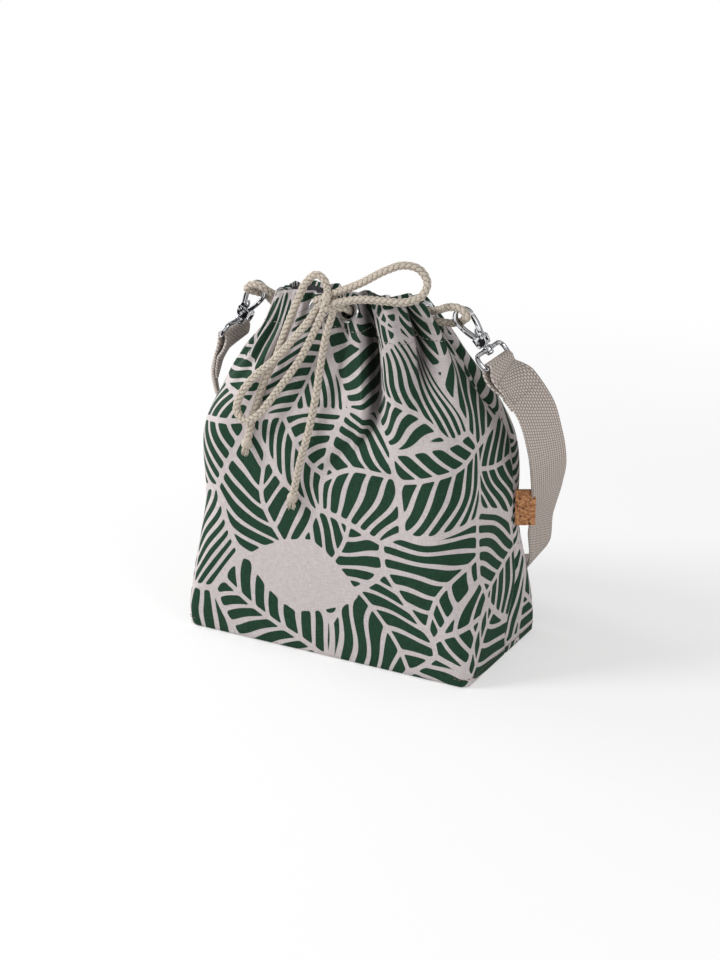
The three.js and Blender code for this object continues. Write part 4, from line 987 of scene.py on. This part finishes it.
# Bow: each end of the drawstring comes out of its front eyelet, runs into the knot, makes a loop, goes
# back through the knot and hangs as a tail with a bound, frayed tip. From its eyelet the right cord is
# about 0.39 m long and the left 0.31 m, and both lie on the front of the bag.
BOW_RIGHT = [
    # From the eyelet into the knot.
    (3.4, -22.6, 241.6), (3.5, -26, 244.2), (3.4, -29.6, 246), (1, -32.6, 246.8), (-3.5, -34.4, 247.2),
    (-8.5, -35.2, 247.6),
    # The left loop.
    (-13, -35, 246), (-18.6, -40, 236), (-26.3, -43.6, 225.4), (-39.8, -48.6, 208.6), (-53.4, -53.6, 195),
    (-61.4, -57.6, 182.3), (-63, -60, 172.1), (-56.2, -61, 166), (-47.3, -59.4, 171), (-35.8, -52.4, 188.2),
    (-23.2, -44.6, 209.5), (-14.7, -40.8, 228.2), (-9, -38, 242.6),
    # Back through the knot.
    (-6.6, -38.2, 248.4), (-5.8, -37.2, 253.6),
    # The left tail.
    (-8.4, -32, 257.6), (-11.4, -31, 263.6), (-17.1, -31, 266.4), (-24.6, -32, 259.8), (-30.1, -34.6, 246.5),
    (-35.2, -38.4, 230.4), (-38.6, -40.4, 219.4), (-42.2, -42.8, 207.4), (-47.3, -46.8, 195),
    (-51.4, -50.2, 180.4), (-54.4, -54, 166), (-56.5, -57.6, 151),
]
BOW_LEFT = [
    # From the eyelet into the knot.
    (-18.6, -22.5, 240.5), (-19, -26, 244), (-18.2, -29.5, 247.6), (-15, -31.8, 249.4), (-10.6, -32.6, 251.6),
    (-5.4, -31.6, 254.2),
    # The right loop.
    (-0.8, -30.8, 256.8), (13.9, -28, 264), (30.6, -23, 274.1), (40.8, -18, 277.6), (50.4, -14, 275.2),
    (56.4, -14, 266.8), (54.6, -18.6, 258.8), (46.2, -25.2, 255.2), (33.3, -29, 255), (17.2, -32, 254.6),
    (2.6, -34.6, 251.2),
    # Back through the knot.
    (-1.6, -36.6, 249.6),
    # The right tail.
    (-2.8, -35.4, 243), (-5, -38.4, 231.6), (-7, -43.4, 211.8), (-7.2, -50.8, 189), (-9.7, -57, 164.8),
    (-14.6, -59.8, 143.7), (-19.4, -61.2, 119.8),
]
BOUND_LENGTH = 0.007
TUFT_STRANDS = 34
TUFT_ROOT = 0.0048
BOWS = {
    "right": (BOW_RIGHT, ("bow_lead_right", "bow_loop_left", "bow_tail_left"), "tail_end_left", 11),
    "left": (BOW_LEFT, ("bow_lead_left", "bow_loop_right", "bow_tail_right"), "tail_end_right", 12),
}


def frayed_tip(name, line, seed):
    """The cord's end: whipped with its own thread into a small bulb, then loose strands."""
    way = unit(line[-1] - line[-12])
    aside = np.cross(way, [0, 1, 0])
    axes = place_frame(line[-1], aside, np.cross(aside, -way))
    wraps = [(0, -0.0005), (0.0024, -0.0004)]
    for i in range(6):
        height, swell = 0.0002 + i * 0.00085, 0.0004 * math.sin(math.pi * i / 5)
        wraps += [(0.0030 + swell, height), (0.0034 + swell, height + 0.0004)]
    wraps += [(0.0030, 0.0053), (0.0014, 0.0058), (0, 0.0059)]
    parts = [turned(wraps, axes, 24, False)]
    chance = np.random.default_rng(seed)
    for i in range(TUFT_STRANDS):
        a = 2 * math.pi * chance.random()
        r = 0.0022 * math.sqrt(chance.random())
        flare = 1.25 + 0.6 * chance.random()
        reach = BOUND_LENGTH + 0.0012 + 0.0032 * chance.random()
        curl = (chance.random() - 0.5) * 0.0012
        spread = ((0, 1), (0.4, 1 + (flare - 1) * 0.4), (0.75, flare), (1, flare * 1.05))
        strand = [axes @ Vector((r * math.cos(a) * k, r * math.sin(a) * k + curl * t * t,
                                 TUFT_ROOT + (reach - TUFT_ROOT) * t)) for t, k in spread]
        path = even_line([tuple(p) for p in strand], 0.0006)
        parts.append(tube(path, np.linspace(0.00030, 0.00016, len(path))[:, None] * np.ones((1, 5))))
    return joined(name, parts, cord_cotton)


for side, (points, nodes, tip_node, seed) in BOWS.items():
    line = even_line(np.array(points) * MILLIMETRE)
    cord = braided(f"bow_cord_{side}", line, CORD / 2, cord_cotton)
    tip = frayed_tip(f"frayed_tip_{side}", line, seed)
    for piece in (cord, tip):
        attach(piece, "bag")
    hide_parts(*nodes)
    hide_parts(tip_node)

# Knot of the bow: the same cord wrapped once round the place where its stretches cross, and pulled tight.
# It holds both bow cords.
WRAP_MIDDLE = np.array([-4.8, -33.6, 249.6])
WRAP_REACH = 5.7
WRAP_LEAN = 2.4
turns = np.linspace(0, 2 * math.pi, 11)
back, up = WRAP_REACH * np.cos(turns), WRAP_REACH * np.sin(turns)
wrap = WRAP_MIDDLE + np.stack([-WRAP_LEAN * np.sin(turns), -back, up], axis=1)
knot = braided("bow_wrap", even_line(wrap * MILLIMETRE)[:-1], CORD * 0.44, cord_cotton)
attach(knot, "bag")
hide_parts("bow_knot")

# Side loops: the same drawstring, drawn out through each side eyelet as two strands that part, so that the
# loop holds the hook. With what lies in its eyelet, the right loop is 0.093 m long and the left 0.072 m.
SIDE_LOOP_RIGHT = [
    (10, -1.2, 5.5), (16, -4.4, 8.7), (21, -6.2, 10.5), (26.4, -6.6, 10.9), (31, -6.9, 9.1), (33.2, -7, 5.9),
    (28, 0, 1.8), (24.4, 6, -1.7), (20, 6, -3.9), (14.6, 4, -4.5), (9.6, 1.2, -3.6),
]
SIDE_LOOP_LEFT = [
    (-6.4, -2.6, 5.3), (-9.8, -5.6, 8.5), (-14.4, -6.6, 10.5), (-19.4, -6.6, 9.5), (-22.6, -6.2, 6.1),
    (-18.3, 0, 2.8), (-14.4, 6, -0.5), (-10.4, 5.2, -2.9), (-6.4, 2.4, -3.5),
]
STRAND_SPREAD = 2.85
STRAND_DEPTH = 5.2
STRAND_OUT = 2.0
for side, points, way in (("right", SIDE_LOOP_RIGHT, 1), ("left", SIDE_LOOP_LEFT, -1)):
    eyelet = np.array(EYELETS[f"side_eyelet_{side}"][0].translation)
    upper = [(way * depth, 0, STRAND_SPREAD) for depth in (-STRAND_DEPTH, -STRAND_DEPTH / 2, 0, STRAND_OUT)]
    lower = [(x, y, -z) for x, y, z in upper[::-1]]
    line = even_line(np.array(upper + points + lower) * MILLIMETRE + eyelet)
    loop = braided(f"side_loop_cord_{side}", line, CORD / 2, cord_cotton)
    reach = np.array([way * max(abs(x) for x, y, z in points) * MILLIMETRE, 0, 0])
    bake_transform(loop)
    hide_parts(f"side_loop_{side}")

# Strap rings: each a rounded rectangle of 3.2 mm chromed wire, welded shut, with a boss on its near side
# that the hook's stem turns in.
RING_WIRE = 0.0032
RING_LENGTH = 0.038
RING_DEPTH = 0.011
RING_CORNER = 0.0045
BOSS = 0.007
BOSS_LENGTH = 0.0044
BOSS_EDGE = 0.0006
STEM = 0.003
FIT = 0.0003
HOOKS = {"right": ((0.04553, 0, -0.0165), 43.3, 1), "left": ((-0.03186, 0, -0.01844), 32, -1)}


def hook_axes(side):
    """The hook's frame: its middle in the boss, z along the stem towards its top, and x towards the gate."""
    from_eyelet, lean, way = HOOKS[side]
    lean = math.radians(lean)
    along = Vector((-way * math.sin(lean), 0, math.cos(lean)))
    gate_way = Vector((way * math.cos(lean), 0, math.sin(lean)))
    axes = Matrix((gate_way, along.cross(gate_way), along)).transposed().to_4x4()
    axes.translation = EYELETS[f"side_eyelet_{side}"][0].translation + Vector(from_eyelet)
    return axes


def ring_line():
    """The wire's middle, all the way round, in the hook's frame."""
    x, high, low = RING_LENGTH / 2 - RING_CORNER, -RING_CORNER, RING_CORNER - RING_DEPTH
    places = []
    for i, middle in enumerate(((x, high), (x, low), (-x, low), (-x, high))):
        start = math.pi / 2 * (1 - i)
        places += [(0, a, b) for a, b in arc(middle, RING_CORNER, start, start - math.pi / 2, 7)]
    places.append(places[0])
    run = run_along(places)
    return read_off(np.linspace(0, run[-1], 161)[:-1], run, places)


hook_frames = {side: hook_axes(side) for side in HOOKS}
half_boss = BOSS_LENGTH / 2
bore, wall = STEM / 2 + FIT, BOSS / 2
boss_profile = [(bore, -half_boss), (wall - BOSS_EDGE, -half_boss), (wall, -half_boss + BOSS_EDGE),
                (wall, half_boss - BOSS_EDGE), (wall - BOSS_EDGE, half_boss), (bore, half_boss)]
for side, axes in hook_frames.items():
    line = np.array([axes @ Vector(p) for p in ring_line()])
    wire = tube(line, np.full((len(line), 20), RING_WIRE / 2), True)
    ring = joined(f"ring_{side}", [wire, turned(boss_profile, axes, 40)], chrome, 50)
    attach(ring, "strap")
    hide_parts(f"strap_ring_{side}")

# Snap hooks: die-cast zinc, chromed. A block carries the arm that hooks round the eye and ends in the nose.
# The stem below it turns in the ring's boss, held by a peened head.
NECK_START = 0.003
BLOCK_TOP = 0.0105
BLOCK_WIDTH = 0.0084
BLOCK_THICKNESS = 0.0066
BLOCK_INSET = 0.0002
SLOT = 0.0014
HOOK_THICKNESS = 0.0044
EYE_HEIGHT = 0.026
EYE_RADIUS = 0.0049
HOOK_WALL = 0.0028
NOSE_DROP = 0.0012
PIVOT_X = 0.0032
PIVOT_HEIGHT = 0.0084
ARM_BEND = 0.008
ARM_BOW = 0.0004
HEAD = 0.0054
HEAD_HEIGHT = 0.0016


def arm_outline():
    outer = EYE_RADIUS + HOOK_WALL
    nose = EYE_HEIGHT - NOSE_DROP
    side = -BLOCK_WIDTH / 2 + BLOCK_INSET
    foot = PIVOT_HEIGHT - 0.001
    inner = -0.0008
    return [
        (side, foot),
        *bend((side, BLOCK_TOP), (-outer + ARM_BOW, EYE_HEIGHT - ARM_BEND), (-outer, EYE_HEIGHT), 14),
        *arc((0, EYE_HEIGHT), outer, math.pi, 0, 40)[1:],
        (outer, nose), (EYE_RADIUS, nose),
        *arc((0, EYE_HEIGHT), EYE_RADIUS, 0, math.pi, 32),
        *bend((-EYE_RADIUS, EYE_HEIGHT), (-EYE_RADIUS + ARM_BOW, EYE_HEIGHT - ARM_BEND + 0.001),
              (inner, BLOCK_TOP + 0.0006), 14)[1:],
        (inner, foot)]


def block_outline():
    side = BLOCK_WIDTH / 2
    waist = PIVOT_HEIGHT - 0.002
    rise = 0.0016
    return [
        (-side + rise, NECK_START),
        *bend((side - rise, NECK_START), (side, NECK_START), (side + 0.0006, waist), 8),
        *arc((PIVOT_X, PIVOT_HEIGHT), BLOCK_TOP - PIVOT_HEIGHT, -0.4, math.pi / 2, 14),
        (-side, BLOCK_TOP),
        *bend((-side, waist), (-side, NECK_START), (-side + rise, NECK_START), 8)[:-1]]


def block_parts(axes):
    """The block's two cheeks, with the gate's slot between them, and the root that joins them."""
    cheek = (BLOCK_THICKNESS - 2 * SLOT) / 2
    aside = [Matrix.Translation((0, way * (SLOT + cheek / 2), 0)) for way in (-1, 1)]
    parts = [eased_plate(block_outline(), cheek, 0.0004, axes @ move) for move in aside]
    back = -BLOCK_WIDTH / 2 + BLOCK_INSET
    root = [(back, NECK_START), (0.0036, NECK_START), (0.0036, PIVOT_HEIGHT - 0.0034),
            (0.0004, PIVOT_HEIGHT - 0.003), (0.0002, BLOCK_TOP), (back, BLOCK_TOP)]
    return [*parts, eased_plate(root, 2 * SLOT + 0.0012, 0.0002, axes)]


head_top, neck_top = -half_boss - FIT, half_boss + FIT
stem_profile = [
    (0, head_top - HEAD_HEIGHT), (HEAD * 0.24, head_top - HEAD_HEIGHT * 0.97),
    (HEAD * 0.42, head_top - HEAD_HEIGHT * 0.7), (HEAD / 2, head_top - HEAD_HEIGHT * 0.3),
    (HEAD / 2, head_top), (STEM / 2, head_top + 0.0001), (STEM / 2, neck_top),
    (STEM * 0.8, neck_top + 0.0002), (STEM * 0.8, NECK_START + 0.0006), (0, NECK_START + 0.0015)]
for side, axes in hook_frames.items():
    arm = eased_plate(arm_outline(), HOOK_THICKNESS, 0.0011, axes)
    parts = [arm, *block_parts(axes), turned(stem_profile, axes, 32, False)]
    hook = joined(f"snap_hook_{side}", parts, chrome, 50)
    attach(hook, f"hook_{side}")
    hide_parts(f"hook_body_{side}")

# Gates: a chromed lever on each hook, which turns on a rivet through the block. A leaf of spring steel
# holds it shut against the hook's nose.
TONGUE = 0.0022
TONGUE_RADIUS = 0.0019
GATE_THICKNESS = 0.0038
GATE_WALL = 0.0026
GATE_FOOT = 0.012
NOSE_GAP = 0.0005
PIN = 0.0018
PIN_HEAD = 0.003
PIN_HEAD_HEIGHT = 0.0006
LEAF = 0.0005
LEAF_WIDTH = 0.0022


def gate_parts(axes):
    """The gate's bar, and the tongue below it that turns on the rivet."""
    top = EYE_HEIGHT - NOSE_DROP - NOSE_GAP
    bow = EYE_HEIGHT - ARM_BEND
    root, heel, face = PIVOT_X - 0.0012, PIVOT_X + TONGUE_RADIUS, EYE_RADIUS + GATE_WALL
    bar = [(root, GATE_FOOT), (heel, GATE_FOOT), *bend((heel, GATE_FOOT), (face, bow), (face, top), 12)[1:],
           *bend((EYE_RADIUS + 0.0001, top), (EYE_RADIUS - ARM_BOW, bow), (root, GATE_FOOT), 12)[:-1]]
    tongue = [*arc((PIVOT_X, PIVOT_HEIGHT), TONGUE_RADIUS, math.pi, 2 * math.pi, 16),
              (heel, GATE_FOOT + 0.002), (PIVOT_X - TONGUE_RADIUS / 2, GATE_FOOT + 0.002)]
    return [eased_plate(bar, GATE_THICKNESS, 0.0008, axes), eased_plate(tongue, TONGUE, 0.0002, axes)]


spring_steel = chrome_finish("spring_steel", colour(168, 170, 176), 0.28)
cheek_face = BLOCK_THICKNESS / 2 + FIT
cap = cheek_face + PIN_HEAD_HEIGHT
pin_half = [(PIN / 2, cheek_face), (PIN_HEAD / 2, cheek_face), (PIN_HEAD / 2, cap - 0.0003),
            (PIN_HEAD * 0.3, cap), (0, cap)]
pin_profile = [*[(r, -h) for r, h in pin_half[::-1]], *pin_half]
leaf_line = bend((0.0001, BLOCK_TOP + FIT), (-0.0006, GATE_FOOT + 0.002), (0.0019, GATE_FOOT + 0.0034), 12)
leaf_middle = np.array(leaf_line)
leaf_way = unit(np.gradient(leaf_middle, axis=0))
leaf_side = np.stack([-leaf_way[:, 1], leaf_way[:, 0]], axis=1) * LEAF / 2
leaf_outline = [tuple(p) for p in (*(leaf_middle - leaf_side), *(leaf_middle + leaf_side)[::-1])]
for side, axes in hook_frames.items():
    gate = joined(f"hook_gate_{side}", gate_parts(axes), chrome, 50)
    across = axes @ Matrix.Translation((PIVOT_X, 0, PIVOT_HEIGHT)) @ Matrix.Rotation(math.pi / 2, 4, "X")
    pin = joined(f"rivet_{side}", [turned(pin_profile, across, 28, False)], chrome, 50)
    leaf = joined(f"leaf_{side}", [eased_plate(leaf_outline, LEAF_WIDTH, 0.0001, axes)], spring_steel, 50)
    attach(gate, f"gate_{side}")
    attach(pin, f"hook_{side}")
    foot, tip = [axes @ Vector((x, 0, z)) for x, z in (leaf_line[1], leaf_line[-1])]
    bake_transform(leaf)
    for piece, node, slot in ((gate, "gate", "chrome"), (pin, "gate_pin", "chrome"),
                              (leaf, "gate_spring", "spring_steel")):
        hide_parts(f"{node}_{side}")

# Carry strap: a cotton webbing band, 32 mm wide and 2 mm thick, woven in heavy ribs. Each end folds round
# its ring and is sewn back on itself. It hangs behind the bag and is 0.59 m long from ring to ring.
WEBBING_WIDTH = 0.032
WEBBING = 0.002
LAP_LENGTH = 0.034
LAP_CLEAR = 0.003
LAP_SEWN = 0.017
FOLD_RADIUS = RING_WIRE / 2 + FIT + WEBBING / 2
STRAP_RIGHT = [
    ((12, 0.6, -14), (0.12, 1, 0)), ((21, 4.5, -22.6), (0.46, 1, 0.22)),
    ((32.3, 7.2, -39.1), (0.42, 1, 0.17)), ((35.8, 15.4, -62.6), (0.38, 1, 0.16)),
    ((32.7, 30.6, -89.3), (0.35, 1, 0.07)), ((24.5, 49, -116), (0.2, 1, 0.1)),
    ((15.5, 60, -143), (0.1, 1, 0.05)), ((10, 69, -171), (0, 1, 0.1)), ((-11, 79, -191), (0.05, 1, 0.25)),
    ((-57, 83, -193), (0, 1, 0.4)), ((-96.5, 84, -192), (0, 1, 0.4)),
]
STRAP_LEFT = [
    ((9.1, 0, -15), (0, 1, 0)), ((14.5, 1.5, -23.5), (0.2, 1, 0.05)), ((23, 6, -37.5), (0.5, 1, 0.05)),
    ((31, 17, -58.5), (0.8, 1, 0)), ((34.5, 31, -82.5), (0.9, 1, 0.05)), ((32, 46, -108.5), (0.7, 1, 0.2)),
    ((22.5, 61, -135.5), (0.35, 1, 0.35)), ((1.5, 73, -158.5), (0.1, 1, 0.4)),
    ((-28.5, 80, -174.5), (0, 1, 0.4)), ((-60.5, 83, -181.5), (0, 1, 0.4)),
]
STRAP_STEP = 0.0015
RIB_PITCH = 0.0019
PICK_PITCH = 0.0024
HALF_TURN = 3.1416


def half_strap(places, side):
    boss, way = np.array(hook_frames[side].translation), np.array([HOOKS[side][2], 1, 1])
    return [(boss + np.array(at) * way * MILLIMETRE, np.array(width) * way) for at, width in places]


def ring_fold(side, first, direction):
    """Where the band's run meets the fold round the ring's far bar, and the fold's middles and faces."""
    bar = np.array(hook_frames[side] @ Vector((0, 0, -RING_DEPTH)))
    away = unit((first - bar) * [1, 0, 1])
    face = np.cross(away * direction, [0, 1, 0])
    faces = [face * math.cos(a) - away * math.sin(a) for a in np.linspace(0, math.pi, 14)[1:-1]]
    return bar + face * FOLD_RADIUS, [bar + FOLD_RADIUS * out for out in faces], faces


def strap_frames():
    """Middles, widths and faces of the band, from lap to lap, and those of its run from ring to ring."""
    right, left = half_strap(STRAP_RIGHT, "right"), half_strap(STRAP_LEFT, "left")
    right_start, right_fold, right_faces = ring_fold("right", right[0][0], 1)
    left_start, left_fold, left_faces = ring_fold("left", left[0][0], -1)
    level = np.array([0, 1.0, 0])
    between = right + left[::-1]
    fine = smooth_places([right_start, *[at for at, width in between], left_start])
    given = [level, *[width for at, width in between], level]
    place = np.arange(len(fine)) * (len(given) - 1) / (len(fine) - 1)
    run = run_along(fine)
    at = np.linspace(0, run[-1], int(run[-1] / STRAP_STEP))
    middle = read_off(at, run, fine)
    along = unit(np.gradient(middle, axis=0))
    width = read_off(at, run, read_off(place, range(len(given)), given))
    width = unit(width - along * (width * along).sum(axis=1)[:, None])
    face = np.cross(along, width)
    apart = 2 * FOLD_RADIUS + (WEBBING + FIT - 2 * FOLD_RADIUS) * smooth(at, LAP_CLEAR, LAP_SEWN)
    lap = at < LAP_LENGTH
    right_lap, left_lap = [
        [middle[order][lap] - face[order][lap] * apart[lap][:, None], width[order][lap], -face[order][lap]]
        for order in (slice(None), slice(None, None, -1))]
    fold_width = [level] * len(right_fold)
    band_run = [middle, width, face]
    rows = [[part[::-1] for part in right_lap], [right_fold[::-1], fold_width, right_faces[::-1]], band_run,
            [left_fold, fold_width, left_faces], left_lap]
    return [np.concatenate([row[k] for row in rows]) for k in range(3)], band_run


def webbing_finish():
    """Cotton webbing: rows of small slanted bumps, each row set half a bump on from the one beside it, with
    painted shade between them.
    """
    finish = Finish("webbing")
    s, t, unused = finish.parts(finish.map_place("band"))
    rib = s / RIB_PITCH
    odd = (rib.floor() * 0.5).fraction() * 2.0
    across = ((rib.fraction() - 0.5) * HALF_TURN).cos()
    pick = ((t / PICK_PITCH + odd * 0.5).fraction() - 0.5) * HALF_TURN
    bump = (across * abs(pick.cos())) ** 0.7
    fuzz = finish.noise(finish.object_place(), 1600.0, 3.0)
    # Painted shade: the colour goes darker between the bumps, with the cotton's own uneven tone from the
    # fuzz.
    weave_blend = (bump + (fuzz - 0.5) * 0.4).ramp(0.15, 0.85)
    base = finish.mix(weave_blend, colour(138, 127, 119), colour(204, 193, 186))
    height = bump * 0.00028 + (fuzz - 0.5) * 0.00008
    return finish.surface(height, Base_Color=base, Roughness=0.88, Specular_IOR_Level=0.25)


(middles, widths, faces), band_run = strap_frames()
side, thick, ease = WEBBING_WIDTH / 2, WEBBING / 2, 0.0007
section = [*[(a, -thick) for a in np.linspace(-side + ease, side - ease, 18)],
           (side - ease * 0.3, -thick + ease * 0.3), (side, 0), (side - ease * 0.3, thick - ease * 0.3)]
section += [(-a, -b) for a, b in section]
around = len(section)
places = [m + w * a + f * b for m, w, f in zip(middles, widths, faces) for a, b in section]
last = range(len(places) - around, len(places))
sides = grid_faces(len(middles), around) + [tuple(range(around))[::-1], tuple(last)]
band = smooth_mesh("webbing_band", places, sides, webbing_finish(), 60)
lay_map(band, "band", np.array([(a, r) for r in run_along(middles) for a, b in section]))
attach(band, "strap")
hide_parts("strap_webbing")

# Lap stitching: a box of pale thread sewn by machine through both layers of each lap. It is seen on the
# band's outer face.
SEWN_BOX = 0.021
BOX_START = 0.008
BOX_MARGIN = 0.003
edge = WEBBING_WIDTH / 2 - BOX_MARGIN
box_lines = []
for middles, widths, faces in (band_run, [part[::-1] for part in band_run]):
    inside = [i for i, r in enumerate(run_along(middles)) if BOX_START <= r <= BOX_START + SEWN_BOX]
    sewn = middles + faces * (WEBBING / 2 + 0.0001)
    box_lines += [[sewn[i] + widths[i] * a for i in inside] for a in (-edge, edge)]
    across = np.linspace(-edge, edge, 30)
    box_lines += [[sewn[i] + widths[i] * a for a in across] for i in (inside[0], inside[-1])]
box = stitched("lap_stitches", box_lines, thread, 5)
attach(box, "strap")
